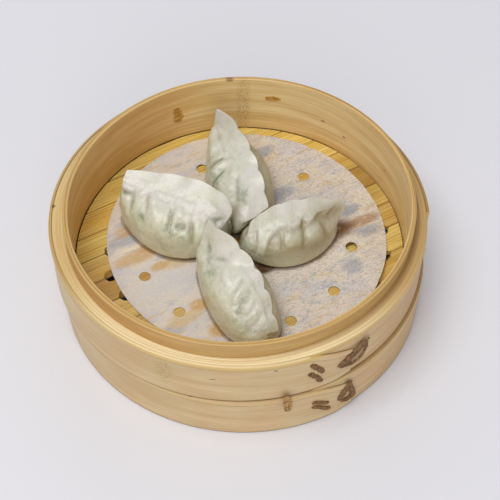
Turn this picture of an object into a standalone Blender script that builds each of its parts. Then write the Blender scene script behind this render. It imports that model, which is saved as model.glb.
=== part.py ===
"""Round bamboo steamer basket that holds a punched paper liner and four chive dumplings.

Sizes are in millimetres and become metres where each mesh is made. The origin is under the
middle of the basket, on the table. +X is to the right and +Y is away from the front.
"""

import math
from typing import NamedTuple

import bmesh
import bpy
import numpy as np

MM = 0.001
GAP = 0.3  # left between pieces that touch in the real basket
SHARP_FROM = 40  # degrees between faces, from which their edge is shaded sharp


class Round(NamedTuple):
    """A hand-bent ring: its middle, and how far it is out of round, as shares of its radius."""

    x: float
    y: float
    oval: float
    skew: float

    def point(self, radius, degrees, height):
        angle = math.radians(degrees)
        bent = radius * (1 + self.oval * math.cos(2 * angle) + self.skew * math.sin(2 * angle))
        return (self.x + bent * math.cos(angle), self.y + bent * math.sin(angle), height)


INNER = Round(-0.9, 0.0, 0.0, 0.0106)
UPPER = Round(-1.1, 0.0, 0.011, 0.0)
LOWER = Round(0.9, 0.0, 0.004, 0.0)

HOOP_RADIUS = 90.0
STRIP_THICKNESS = 1.1
CORE_RADIUS = HOOP_RADIUS - STRIP_THICKNESS - GAP
INNER_RADIUS = 81.2
INNER_OUTSIDE = 83.65
SEAM_HEIGHT = 26.7
HOOP_TOP = 54.5
RIM_HEIGHT = 63.7
STACKING_RECESS = 10.0  # how far the rim of another basket reaches in from below
EDGE_ROUNDING = 0.4
SKIN_ROUNDING = 1.1
RING_STEP = 5  # degrees

STRIP_START = 0  # degrees, where the outer strip of a hoop begins
STRIP_END = 305
TONGUE_START = 290  # degrees, where the strip's end begins to narrow

FLOOR_TOP = 28.5
SLAT_THICKNESS = 2.5
SLAT_PITCH = 13.9
SLAT_TURN = 30  # degrees from +X to the slats' length
FIRST_JOINT = -68.4  # across the slats, from the middle of the basket
SLAT_JOINTS = 11
SLOT_DEPTH = 3.2  # how far a steam slot cuts into the slat on either side
SLOT_REACH = 70.0  # radius at which the outer slots end, about a point SLOT_SHIFT along the slats
SLOT_SHIFT = 2.5
END_SLOT_LENGTH = 12.0
MIDDLE_SLOT_LENGTH = 36.0
MIDDLE_SLOT_SPREAD = 45.0  # joints farther out than this have no middle slot
END_STEPS = 5  # pieces of a slat's rounded end
BAR_WIDTH = 9.0
BAR_HEIGHT = 6.0
BAR_OFFSET = 38.0

LINER = Round(2.3, 5.4, -0.0044, -0.0094)
LINER_RADIUS = 69.8
LINER_THICKNESS = 0.4
LINER_BOTTOM = FLOOR_TOP + GAP
PUNCH = Round(1.2, 2.2, 0.0, 0.0)
PUNCH_RING_RADIUS = 53.0
PUNCH_COUNT = 12
PUNCH_START = -5.5  # degrees
PUNCH_RADIUS = 2.9
PUNCH_SIDES = 12
LINER_SIDES = 72

FOOD_BOTTOM = LINER_BOTTOM + LINER_THICKNESS + GAP


def clear_scene():
    for item in list(bpy.data.objects):
        bpy.data.objects.remove(item, do_unlink=True)


def make_material(name, colour, roughness):
    material = bpy.data.materials.new(name)
    material.use_nodes = True
    shader = material.node_tree.nodes["Principled BSDF"]
    shader.inputs["Base Color"].default_value = (*colour, 1.0)
    shader.inputs["Roughness"].default_value = roughness
    return material


def add_piece(name, work, material):
    """A named object from a finished bmesh, which it uses up."""
    bmesh.ops.recalc_face_normals(work, faces=work.faces)
    mesh = bpy.data.meshes.new(name)
    work.to_mesh(mesh)
    work.free()
    mesh.shade_smooth()
    mesh.set_sharp_from_angle(angle=math.radians(SHARP_FROM))
    mesh.materials.append(material)
    piece = bpy.data.objects.new(name, mesh)
    bpy.context.scene.collection.objects.link(piece)
    return piece


def add_solid(name, points, faces, material):
    """A closed mesh object from points in millimetres."""
    work = bmesh.new()
    corners = [work.verts.new([axis * MM for axis in point]) for point in points]
    for face in faces:
        work.faces.new([corners[index] for index in face])
    return add_piece(name, work, material)


def skin_faces(sections, around, closed):
    """Quads that join each section's loop of points to the next one's."""
    faces = []
    for section in range(sections if closed else sections - 1):
        here = section * around
        there = (section + 1) % sections * around
        for index in range(around):
            after = (index + 1) % around
            faces.append((here + index, there + index, there + after, here + after))
    return faces


def sweep(name, sections, closed, material):
    """A solid through equal loops of points, shut at both ends unless it comes round again."""
    around = len(sections[0])
    faces = skin_faces(len(sections), around, closed)
    if not closed:
        last = (len(sections) - 1) * around
        faces.append(tuple(range(around)))
        faces.append(tuple(range(last + around - 1, last - 1, -1)))
    return add_solid(name, [point for loop in sections for point in loop], faces, material)


def make_inner_ring(material):
    """The tall ring whose rim stands above the hoops."""
    rounding = EDGE_ROUNDING
    profile = (
        (INNER_RADIUS, STACKING_RECESS),
        (INNER_OUTSIDE, STACKING_RECESS),
        (INNER_OUTSIDE, RIM_HEIGHT - rounding),
        (INNER_OUTSIDE - rounding, RIM_HEIGHT),
        (INNER_RADIUS + rounding, RIM_HEIGHT),
        (INNER_RADIUS, RIM_HEIGHT - rounding),
    )
    sections = [
        [INNER.point(radius, degrees, height) for radius, height in profile]
        for degrees in range(0, 360, RING_STEP)
    ]
    return sweep("inner_ring", sections, True, material)


def make_hoop_core(name, ring, bottom, top, material):
    """The inner windings of a hoop, which fit round the inner ring."""
    rounding = EDGE_ROUNDING
    sections = [
        [
            INNER.point(INNER_OUTSIDE + GAP, degrees, bottom),
            ring.point(CORE_RADIUS - rounding, degrees, bottom),
            ring.point(CORE_RADIUS, degrees, bottom + rounding),
            ring.point(CORE_RADIUS, degrees, top - SKIN_ROUNDING),
            ring.point(CORE_RADIUS - SKIN_ROUNDING / 2, degrees, top - EDGE_ROUNDING / 2),
            ring.point(CORE_RADIUS - SKIN_ROUNDING, degrees, top),
            INNER.point(INNER_OUTSIDE + GAP, degrees, top),
        ]
        for degrees in range(0, 360, RING_STEP)
    ]
    return sweep(name, sections, True, material)


def tongue_top(degrees, top, tip):
    """Top edge of the outer strip, which narrows to a tongue at its end."""
    share = (degrees - TONGUE_START) / (STRIP_END - TONGUE_START)
    return top + (tip - top) * max(0.0, share)


def make_hoop_strip(name, ring, bottom, top, tip, material):
    """The outermost winding of a hoop, open where its two ends don't meet."""
    inside = CORE_RADIUS + GAP
    sections = []
    for degrees in range(STRIP_START, STRIP_END + RING_STEP, RING_STEP):
        edge = tongue_top(degrees, top, tip)
        profile = (
            (inside, bottom),
            (HOOP_RADIUS - EDGE_ROUNDING, bottom),
            (HOOP_RADIUS, bottom + EDGE_ROUNDING),
            (HOOP_RADIUS, edge - SKIN_ROUNDING),
            (HOOP_RADIUS - SKIN_ROUNDING / 3, edge - SKIN_ROUNDING / 3),
            (HOOP_RADIUS - SKIN_ROUNDING * 0.8, edge),
            (inside, edge),
        )
        sections.append([ring.point(radius, degrees, height) for radius, height in profile])
    return sweep(name, sections, False, material)


class Strand(NamedTuple):
    """A split-bamboo stitch: where it runs on a ring, as (degrees, height), and its section."""

    name: str
    ring: Round
    radius: float
    path: tuple
    width: float
    height: float


UPPER_FACE = HOOP_RADIUS + GAP
STRANDS = (
    Strand("upper_lacing_bar_1", UPPER, UPPER_FACE, ((-69.5, 49), (-67, 44), (-64.5, 38.5)), 3.0, 0.9),
    Strand("upper_lacing_bar_2", UPPER, UPPER_FACE, ((-69.5, 42), (-67, 37), (-64.5, 31.5)), 3.0, 0.9),
    Strand("upper_lacing_slant", UPPER, UPPER_FACE, ((-60, 38.5), (-55, 43), (-50, 47.5)), 2.4, 0.9),
    Strand(
        "upper_lacing_arc", UPPER, UPPER_FACE,
        ((-49.6, 44.4), (-49.4, 39), (-51.5, 35), (-55, 34), (-58.8, 35.6)), 2.0, 0.8,
    ),
    Strand("lower_lacing_bar_1", LOWER, UPPER_FACE, ((-69.5, 18), (-67, 16.3), (-63.5, 12.5)), 2.0, 0.8),
    Strand("lower_lacing_bar_2", LOWER, UPPER_FACE, ((-69.5, 14), (-66.5, 10.5), (-63, 6)), 2.6, 0.9),
    Strand("lower_lacing_slant", LOWER, UPPER_FACE, ((-60.6, 10.5), (-58.4, 16), (-56.6, 21.5)), 2.4, 0.9),
    Strand(
        "lower_lacing_arc", LOWER, UPPER_FACE,
        ((-55, 19.5), (-53.9, 12), (-54.2, 6.4), (-57, 4.2), (-59.4, 6.3)), 2.0, 0.8,
    ),
    Strand("seam_tie", LOWER, UPPER_FACE + 1.6, ((-77.8, 33), (-77.5, 25), (-77.3, 17)), 4.5, 0.9),
)
INSIDE_STRANDS = (
    Strand("inside_tie_left", INNER, INNER_RADIUS - GAP, ((114.2, 51), (114.3, 45), (114.4, 39)), 4.6, 0.7),
    Strand("inside_tie_back", INNER, INNER_RADIUS - GAP, ((80.6, 50.6), (78, 51.2), (75.2, 51.6)), 3.6, 0.7),
)


def make_strand(strand, outward, material):
    """A low, rounded stitch along its path, narrower where its ends go into the hoop."""
    places = [np.array(strand.ring.point(strand.radius, *place)) for place in strand.path]
    section = ((-0.5, 0.0), (-0.42, 0.7), (0.0, 1.0), (0.42, 0.7), (0.5, 0.0))
    loops = []
    for index, place in enumerate(places):
        ahead = places[min(index + 1, len(places) - 1)] - places[max(index - 1, 0)]
        away = np.array((place[0] - strand.ring.x, place[1] - strand.ring.y, 0.0))
        away *= outward / np.linalg.norm(away)
        side = np.cross(away, ahead / np.linalg.norm(ahead))
        size = 0.6 if index in (0, len(places) - 1) else 1.0
        loops.append(
            [
                tuple(place + side * across * strand.width * size + away * up * strand.height * size)
                for across, up in section
            ]
        )
    return sweep(strand.name, loops, False, material)


def across_to_world(along, across):
    """From the slats' own directions to X and Y."""
    turn = math.radians(SLAT_TURN)
    x = INNER.x + along * math.cos(turn) - across * math.sin(turn)
    y = INNER.y + along * math.sin(turn) + across * math.cos(turn)
    return x, y


def slot_spans(across):
    """Where the steam slots on a joint begin and end along it: one at each end, one in the middle."""
    if abs(across) >= SLOT_REACH - SLOT_DEPTH:
        return []
    half = math.sqrt(SLOT_REACH**2 - across**2)
    first, last = SLOT_SHIFT - half, SLOT_SHIFT + half
    spans = [(first, first + END_SLOT_LENGTH), (last - END_SLOT_LENGTH, last)]
    if abs(across) < MIDDLE_SLOT_SPREAD:
        spans.insert(1, (-MIDDLE_SLOT_LENGTH / 2, MIDDLE_SLOT_LENGTH / 2))
    return spans


def slat_edge(across, inward):
    """A slat's long side, cut back by half a slot wherever one lies on its joint."""
    edge = []
    for start, stop in slot_spans(across):
        for along, ahead, turns in ((start, 1, (90, 45, 0)), (stop, -1, (0, 45, 90))):
            for turn in turns:
                angle = math.radians(turn)
                back = ahead * SLOT_DEPTH * (1 - math.sin(angle))
                edge.append((along + back, across + inward * SLOT_DEPTH * math.cos(angle)))
    return edge


def slat_outline(low, high, reach):
    """The slat between two joints as a loop of (along, across) points."""
    start = math.asin(max(low, -reach) / reach)
    stop = math.asin(min(high, reach) / reach)
    angles = [start + (stop - start) * step / END_STEPS for step in range(END_STEPS + 1)]
    far = [(reach * math.cos(angle), reach * math.sin(angle)) for angle in angles]
    near = [(-along, across) for along, across in far[::-1]]
    if low <= -reach:
        near.pop()
    if high >= reach:
        near.pop(0)
    low_edge = slat_edge(low, 1)
    high_edge = slat_edge(high, -1)[::-1]
    return low_edge + far + high_edge + near


def make_slats(material):
    """The floor: flat slats side by side, with long steam slots between them."""
    reach = INNER_RADIUS * (1 - INNER.skew) - GAP
    joints = [FIRST_JOINT + SLAT_PITCH * index for index in range(SLAT_JOINTS)]
    lows = [-reach] + [joint + GAP / 2 for joint in joints]
    highs = [joint - GAP / 2 for joint in joints] + [reach]
    for number, (low, high) in enumerate(zip(lows, highs), start=1):
        outline = [across_to_world(*place) for place in slat_outline(low, high, reach)]
        loops = [
            [(x, y, height) for x, y in outline] for height in (FLOOR_TOP - SLAT_THICKNESS, FLOOR_TOP)
        ]
        sweep(f"floor_slat_{number:02d}", loops, False, material)


def make_bars(material):
    """Two bars under the slats, from one side of the inner ring to the other."""
    top = FLOOR_TOP - SLAT_THICKNESS - GAP
    reach = INNER_RADIUS * (1 - INNER.skew) - GAP
    half = math.sqrt(reach**2 - (BAR_OFFSET + BAR_WIDTH / 2) ** 2)
    for number, middle in enumerate((-BAR_OFFSET, BAR_OFFSET), start=1):
        corners = [
            across_to_world(middle + side * BAR_WIDTH / 2, end * half)
            for side, end in ((-1, -1), (1, -1), (1, 1), (-1, 1))
        ]
        loops = [[(x, y, height) for x, y in corners] for height in (top - BAR_HEIGHT, top)]
        sweep(f"floor_bar_{number}", loops, False, material)


def punch_places():
    """Middles of the liner's steam holes: a ring of them, and one at its middle."""
    places = [
        PUNCH.point(PUNCH_RING_RADIUS, PUNCH_START + 360 / PUNCH_COUNT * index, 0.0)[:2]
        for index in range(PUNCH_COUNT)
    ]
    return places + [(PUNCH.x - 3.1, PUNCH.y - 0.1)]


def make_liner(material):
    """A thin round sheet of paper with punched holes."""
    work = bmesh.new()
    outlines = [
        [LINER.point(LINER_RADIUS, 360 / LINER_SIDES * side, 0.0)[:2] for side in range(LINER_SIDES)]
    ]
    for x, y in punch_places():
        hole = Round(x, y, 0.0, 0.0)
        turns = [360 / PUNCH_SIDES * side for side in range(PUNCH_SIDES)]
        outlines.append([hole.point(PUNCH_RADIUS, turn, 0.0)[:2] for turn in turns])
    for outline in outlines:
        corners = [work.verts.new((x * MM, y * MM, LINER_BOTTOM * MM)) for x, y in outline]
        for index, corner in enumerate(corners):
            work.edges.new((corners[index - 1], corner))
    bmesh.ops.triangle_fill(work, use_beauty=True, use_dissolve=False, edges=work.edges)
    raised = bmesh.ops.extrude_face_region(work, geom=work.faces[:])["geom"]
    top = [item for item in raised if isinstance(item, bmesh.types.BMVert)]
    bmesh.ops.translate(work, verts=top, vec=(0.0, 0.0, LINER_THICKNESS * MM))
    return add_piece("paper_liner", work, material)


class Dumpling(NamedTuple):
    """One dumpling. Pairs and triples give the value at its start, (middle) and end."""

    name: str
    place: tuple  # middle of its base, X and Y
    heading: float  # degrees from +X to its length
    length: float
    pleated_half: float  # width from the root of the crest to the pleated side
    smooth_half: float
    height: float  # of the crest's root
    arch: tuple  # height of the root at the ends, as shares of height
    lift: tuple  # how far the ends are clear of the paper
    plump: tuple  # a higher number gives a blunter end
    crest: tuple  # width of the sealed crest
    lean: tuple  # degrees that the crest leans to the smooth side
    reach: tuple  # how far the crest runs past the belly's ends
    root_offset: tuple  # of the crest's root to the smooth side
    bend: float
    pleats: float
    pleat_shift: float
    pleat_depth: float
    wave: float  # sideways, along the crest's edge


DUMPLINGS = (
    Dumpling(
        "dumpling_1", (-33.0, 9.0), -30, 57, 19, 15.5, 21, (0.98, 0.79), (3.2, 4.0), (2.2, 2.2),
        (6.6, 11.0, 10.8), (60, 63, 43), (3.7, 3.0), (-2.8, 4.0, 3.0), 1.7, 3.6, 0.1, 1.2, 0.3,
    ),
    Dumpling(
        "dumpling_2", (-1.3, 33.6), -81.5, 63, 16.5, 14.5, 21, (0.97, 0.72), (2.4, 2.9), (1.8, 2.5),
        (11.5, 9.0, 11.0), (6, 72, 52), (1.1, 6.0), (-6.6, 0.3, 1.0), -1.0, 4.0, 0.35, 1.1, 0.5,
    ),
    Dumpling(
        "dumpling_3", (23.7, 0.0), 19, 50.5, 17, 15, 19, (0.77, 0.58), (4.0, 3.6), (1.9, 1.9),
        (7.0, 8.8, 7.5), (38, 49, 42), (-3.4, 9.5), (-0.6, -0.1, -1.3), 1.1, 4.4, 0.4, 2.2, 0.4,
    ),
    Dumpling(
        "dumpling_4", (-1.3, -36.6), -65.5, 59.5, 15.5, 15.8, 20.3, (0.93, 0.73), (2.0, 5.4), (1.75, 2.3),
        (10.7, 9.7, 6.9), (9, 78, 63), (8.5, 4.5), (-5.1, -1.0, 1.2), -1.1, 5.0, 0.2, 1.4, 0.9,
    ),
)

# Where two dumplings press on each other: the two, a point between them, and the way from the
# first to the second as degrees from +X and degrees up. Both are flattened there.
CONTACTS = (
    ("dumpling_1", "dumpling_2", (-7.7, 9.6, 38.0), 27, 0),
    ("dumpling_1", "dumpling_4", (-17.5, -10.6, 38.0), -46, 0),
    ("dumpling_2", "dumpling_3", (7.0, 8.0, 38.0), -50, -25),
)
PRESS_SOFTNESS = 0.6  # rounding at the rim of a flattened patch

# Guide lines up one side of a dumpling, from the middle of its base to the tip of its crest:
# base middle, base edge, widest, shoulder, root of the crest, middle of the crest and its tip.
SIDE_WIDTH = (0.0, 0.62, 1.0, 0.8, 0.0, 0.0, 0.0)  # share of the half width
ROOT_SHARE = (0.0, 0.0, 0.1, 0.55, 1.0, 1.0, 1.0)  # how far it follows the root's offset
RISE = (0.0, 0.0, 0.36, 0.78, 1.0, 1.0, 1.0)  # share of the root's height
CREST_SHARE = (0.0, 0.0, 0.0, 0.0, 0.06, 0.55, 1.0)  # share of the crest's width
DOUGH = (0.0, 0.62, 1.0, 1.0, 1.35, 1.0, 0.75)  # share of the dough's half thickness
END_SHARE = (0.8, 0.87, 1.0, 0.985, 0.95, 0.925, 0.9)  # share of the length
REACH_SHARE = (0.0, 0.0, 0.0, 0.1, 0.4, 0.75, 1.0)
PLEAT_SHARE = (0.0, 0.0, 0.35, 1.0, 0.55, 0.2, 0.0)
WAVE_SHARE = (0.0, 0.0, 0.0, 0.0, 0.1, 0.6, 1.0)
DOUGH_HALF = 0.9
PLEAT_SLANT = 0.35  # pleats lean along the dumpling as they rise
CREST_SCALLOP = 0.8  # how much the crest's height follows its sideways wave
STATIONS = 33
SIDE_POINTS = 12


def through(start, middle, end, where):
    """A curve through three values at -1, 0 and 1."""
    return middle + (end - start) / 2 * where + ((start + end) / 2 - middle) * where**2


def spline(guides, steps):
    """Smooth rows of points between guide rows, which they pass through."""
    last = len(guides) - 1
    rows = []
    for place in np.linspace(0, last, steps):
        index = min(int(place), last - 1)
        share = place - index
        before = guides[max(index - 1, 0)]
        low, high = guides[index], guides[index + 1]
        after = guides[min(index + 2, last)]
        bend = 2 * before - 5 * low + 4 * high - after
        twist = 3 * low - before - 3 * high + after
        rows.append(0.5 * (2 * low + (high - before) * share + bend * share**2 + twist * share**3))
    return np.array(rows)


def dumpling_side(shape, where, sign, points):
    """Rows from the middle of the base to the crest's tip, on the pleated (-1) or smooth (1) side."""
    start = where < 0
    plump = np.where(start, *shape.plump)
    full = np.maximum(1 - np.abs(where) ** plump, 0) ** (1 / plump)
    half = full * (shape.pleated_half if sign < 0 else shape.smooth_half)
    arch = np.where(start, *shape.arch)
    root = shape.height * (arch + (1 - arch) * (1 - np.abs(where) ** 2.2))
    base = np.where(start, *shape.lift) * np.abs(where) ** 3
    offset = through(*shape.root_offset, where)
    crest = through(*shape.crest, where)
    lean = np.radians(through(*shape.lean, where))
    reach = np.where(start, -shape.reach[0], shape.reach[1]) * np.abs(where) ** 3
    guides = []
    for column in range(len(RISE)):
        on_crest = CREST_SHARE[column] > 0
        dough = sign * DOUGH_HALF * DOUGH[column]
        phase = shape.pleats * where / 2 + shape.pleat_shift + PLEAT_SLANT * RISE[column]
        crease = (1 - np.abs(np.sin(math.pi * phase))) ** 1.5 * full
        sink = shape.pleat_depth * PLEAT_SHARE[column] * crease if sign < 0 else 0.0
        wave = shape.wave * WAVE_SHARE[column] * np.sin(2 * math.pi * phase)
        tall = CREST_SCALLOP * shape.wave * WAVE_SHARE[column] * np.cos(2 * math.pi * phase)
        out = CREST_SHARE[column] * crest + tall
        x = END_SHARE[column] * where * shape.length / 2 + REACH_SHARE[column] * reach
        y = offset * (ROOT_SHARE[column] + (1 - ROOT_SHARE[column]) * where**2)
        y = y + sign * (SIDE_WIDTH[column] * half - sink)
        y = y + out * np.sin(lean) + (dough * np.cos(lean) if on_crest else dough)
        y = y + wave * np.cos(lean)
        z = base + RISE[column] * (root - base) + out * np.cos(lean) - 0.3 * np.abs(sink)
        z = z - (dough * np.sin(lean) if on_crest else 0.0) - wave * np.sin(lean)
        guides.append(np.stack([x, y, z], axis=-1))
    return spline(np.array(guides), points)


def press(name, points):
    """The dumpling's points, flattened where it leans on its neighbours."""
    for first, second, place, degrees, tilt in CONTACTS:
        if name not in (first, second):
            continue
        turn, rise = math.radians(degrees), math.radians(tilt)
        away = np.array((math.cos(turn) * math.cos(rise), math.sin(turn) * math.cos(rise), math.sin(rise)))
        if name == second:
            away = -away
        depth = (points - np.array(place)) @ away + GAP / 2
        over = PRESS_SOFTNESS * np.logaddexp(0.0, depth / PRESS_SOFTNESS)
        points = points - over[..., None] * away
    return points


def dumpling_grid(shape, stations, points):
    """Points as (station, place round the section, axis), in the basket's frame."""
    where = -np.cos(np.linspace(0, math.pi, stations))
    pleated = dumpling_side(shape, where, -1, points)
    smooth = dumpling_side(shape, where, 1, points)
    loop = np.concatenate([pleated, smooth[:0:-1]])
    x = loop[..., 0]
    y = loop[..., 1] + shape.bend * (where**2 - 0.3)
    z = np.maximum(loop[..., 2], 0.0)
    turn = math.radians(shape.heading)
    placed = (
        shape.place[0] + math.cos(turn) * x - math.sin(turn) * y,
        shape.place[1] + math.sin(turn) * x + math.cos(turn) * y,
        FOOD_BOTTOM + z,
    )
    return press(shape.name, np.stack(placed, axis=-1).transpose(1, 0, 2))


def end_faces(first, around):
    """Quads that shut the thin end of a dumpling, from one side of the dough to the other."""
    faces = []
    for index in range((around - 1) // 2):
        left, right = index, (around - index) % around
        next_left, next_right = index + 1, around - index - 1
        corners = dict.fromkeys((left, next_left, next_right, right))
        faces.append(tuple(first + corner for corner in corners))
    return faces


def make_dumpling(shape, material):
    grid = dumpling_grid(shape, STATIONS, SIDE_POINTS)
    around = grid.shape[1]
    faces = skin_faces(STATIONS, around, False)
    faces += end_faces(0, around)
    faces += end_faces((STATIONS - 1) * around, around)
    return add_solid(shape.name, [tuple(point) for point in grid.reshape(-1, 3)], faces, material)


def main():
    clear_scene()
    wall = make_material("inner_wall_bamboo", (0.50, 0.32, 0.14), 0.5)
    hoop = make_material("hoop_bamboo", (0.60, 0.45, 0.26), 0.5)
    slat = make_material("floor_bamboo", (0.58, 0.38, 0.12), 0.5)
    lacing = make_material("lacing", (0.14, 0.07, 0.03), 0.6)
    paper = make_material("liner_paper", (0.72, 0.66, 0.60), 0.8)
    dough = make_material("dumpling_dough", (0.68, 0.68, 0.58), 0.35)

    make_inner_ring(wall)
    seams = (SEAM_HEIGHT - GAP / 2, SEAM_HEIGHT + GAP / 2)
    make_hoop_core("lower_hoop_core", LOWER, 0.0, seams[0], hoop)
    make_hoop_strip("lower_hoop_strip", LOWER, 0.0, seams[0], 18.5, hoop)
    make_hoop_core("upper_hoop_core", UPPER, seams[1], HOOP_TOP, hoop)
    make_hoop_strip("upper_hoop_strip", UPPER, seams[1], HOOP_TOP, 45.0, hoop)
    for strand in STRANDS:
        make_strand(strand, 1, lacing)
    for strand in INSIDE_STRANDS:
        make_strand(strand, -1, lacing)
    make_slats(slat)
    make_bars(slat)
    make_liner(paper)
    for shape in DUMPLINGS:
        make_dumpling(shape, dough)


main()
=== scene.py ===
"""Looks of a round bamboo steamer basket with a punched paper liner and four chive dumplings.

Sizes are in millimetres and become metres where each mesh is made. The origin is under the
middle of the basket, on the table. +X is to the right and +Y is away from the front.
"""

import math
from typing import NamedTuple

import bmesh
import bpy
import numpy as np
from mathutils import Euler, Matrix, Vector, geometry, kdtree, noise


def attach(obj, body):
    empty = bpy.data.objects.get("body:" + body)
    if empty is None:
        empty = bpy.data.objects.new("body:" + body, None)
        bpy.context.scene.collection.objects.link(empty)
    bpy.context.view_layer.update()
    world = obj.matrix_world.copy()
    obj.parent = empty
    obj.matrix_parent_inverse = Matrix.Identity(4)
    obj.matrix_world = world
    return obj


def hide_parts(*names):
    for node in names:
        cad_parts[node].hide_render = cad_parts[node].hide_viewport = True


MM = 0.001
GAP = 0.3  # left between pieces that touch in the real basket
SHARP_FROM = 50  # degrees between faces, from which their edge is shaded sharp


class Round(NamedTuple):
    """A hand-bent ring: its middle, and how far it is out of round, as shares of its radius."""

    x: float
    y: float
    oval: float
    skew: float

    def points(self, radius, degrees, height):
        """Points on the ring, for numbers or arrays of them."""
        angle = np.radians(degrees)
        bent = radius * (1 + self.oval * np.cos(2 * angle) + self.skew * np.sin(2 * angle))
        x = self.x + bent * np.cos(angle)
        y = self.y + bent * np.sin(angle)
        return np.stack(np.broadcast_arrays(x, y, height), axis=-1)


INNER = Round(-0.9, 0.0, 0.0, 0.0106)
UPPER = Round(-1.1, 0.0, 0.011, 0.0)
LOWER = Round(0.9, 0.0, 0.004, 0.0)

HOOP_RADIUS = 90.0
STRIP_THICKNESS = 1.1
CORE_RADIUS = HOOP_RADIUS - STRIP_THICKNESS - GAP
INNER_RADIUS = 81.2
INNER_OUTSIDE = 83.65
SEAM_HEIGHT = 26.7
HOOP_TOP = 54.5
RIM_HEIGHT = 63.7
STACKING_RECESS = 10.0  # how far the rim of another basket reaches in from below
EDGE_ROUNDING = 0.4
SKIN_BAND = 3.2  # height of the rounded band that the bamboo's skin makes at a hoop's top
SKIN_BULGE = 0.35
FLUTE_DEPTH = 0.07  # of the faint flutes along the hoops' faces
FLUTE_PITCH = 1.7
FLUTE_UNEVENNESS = 0.4  # how far they wander, as a share of their pitch
FLUTE_PACE = 0.7
WALL_STEPS = 64  # up the inner ring
HOOP_STEPS = 48  # up a hoop
FULL_TURN = 360  # degrees, with a section of a ring at each
WINDING_DEPTH = 0.24  # of the grooves between the windings at a hoop's top

STRIP_START = 0  # degrees, where the outer strip of a hoop begins
STRIP_END = 305
TONGUE_START = 290  # degrees, where the strip's end begins to narrow
UPPER_TONGUE_TIP = 45.0
LOWER_TONGUE_TIP = 18.5

FLOOR_TOP = 28.5
SLAT_THICKNESS = 2.5
SLAT_PITCH = 13.9
SLAT_TURN = 30  # degrees from +X to the slats' length
FIRST_JOINT = -68.4  # across the slats, from the middle of the basket
SLAT_JOINTS = 11
SLOT_DEPTH = 3.2  # how far a steam slot cuts into the slat on either side
SLOT_DARKNESS = 0.45  # of the slots' walls, as a share of that of the grooves
SLOT_TAPER = 0.35  # width of a slot at the slats' underside, as a share of that at their top
SLOT_REACH = 70.0  # radius at which the outer slots end, before they are moved
# How far the left and the right slot of each joint are moved along it, from the front to the back.
SLOT_SHIFTS = (
    (3.0, 3.0), (3.0, 3.5), (3.0, 4.8), (3.0, 5.2), (8.5, 3.0), (4.2, 3.0),
    (1.4, 3.0), (3.6, 3.0), (4.4, 3.0), (3.0, 3.0), (3.0, 3.0),
)
END_SLOT_LENGTH = 12.0
MIDDLE_SLOT_LENGTH = 36.0
MIDDLE_SLOT_SPREAD = 45.0  # joints farther out than this have no middle slot
SLAT_END_GAP = 0.5  # between the slats' ends and the wall
SLAT_ROWS = 140
SLAT_COLUMNS = 60
GROOVE_PITCH = 1.3  # between the fine grooves along a slat
GROOVE_DEPTH = 0.28
SLAT_BEVEL = 0.35  # how far a slat's top falls at its edges
SLAT_EDGE_DARKNESS = 0.7  # of the slats' edges, as a share of that of the grooves
SLAT_FIBRE_SHIFT = 40  # from one slat's fibres to the next one's
BAR_WIDTH = 9.0
BAR_HEIGHT = 6.0
BAR_OFFSET = 38.0

LINER = Round(2.3, 5.4, -0.0044, -0.0094)
LINER_RADIUS = 69.8
LINER_THICKNESS = 0.25
LINER_BOTTOM = FLOOR_TOP + 0.2
LINER_CELL = 1.3  # between the sheet's even places
PUNCH = Round(1.2, 2.2, 0.0, 0.0)
PUNCH_RING_RADIUS = 53.0
PUNCH_COUNT = 12
PUNCH_START = -5.5  # degrees
PUNCH_RADIUS = 2.9
PUNCH_SIDES = 28
LINER_SIDES = 240

FOOD_BOTTOM = 29.5  # height of the dumplings' undersides

CAMERA_PLACE = (0.0, -382.1, 506.3)
CAMERA_TURN = (38.437, -0.327, -0.196)  # degrees about X, Y and Z
CAMERA_LENS = 88.85


def linear(red, green, blue):
    """A shader's colour from the 0 to 255 numbers of a screen."""
    shares = (value / 255 for value in (red, green, blue))
    return tuple(s / 12.92 if s <= 0.04045 else ((s + 0.055) / 1.055) ** 2.4 for s in shares)


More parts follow.
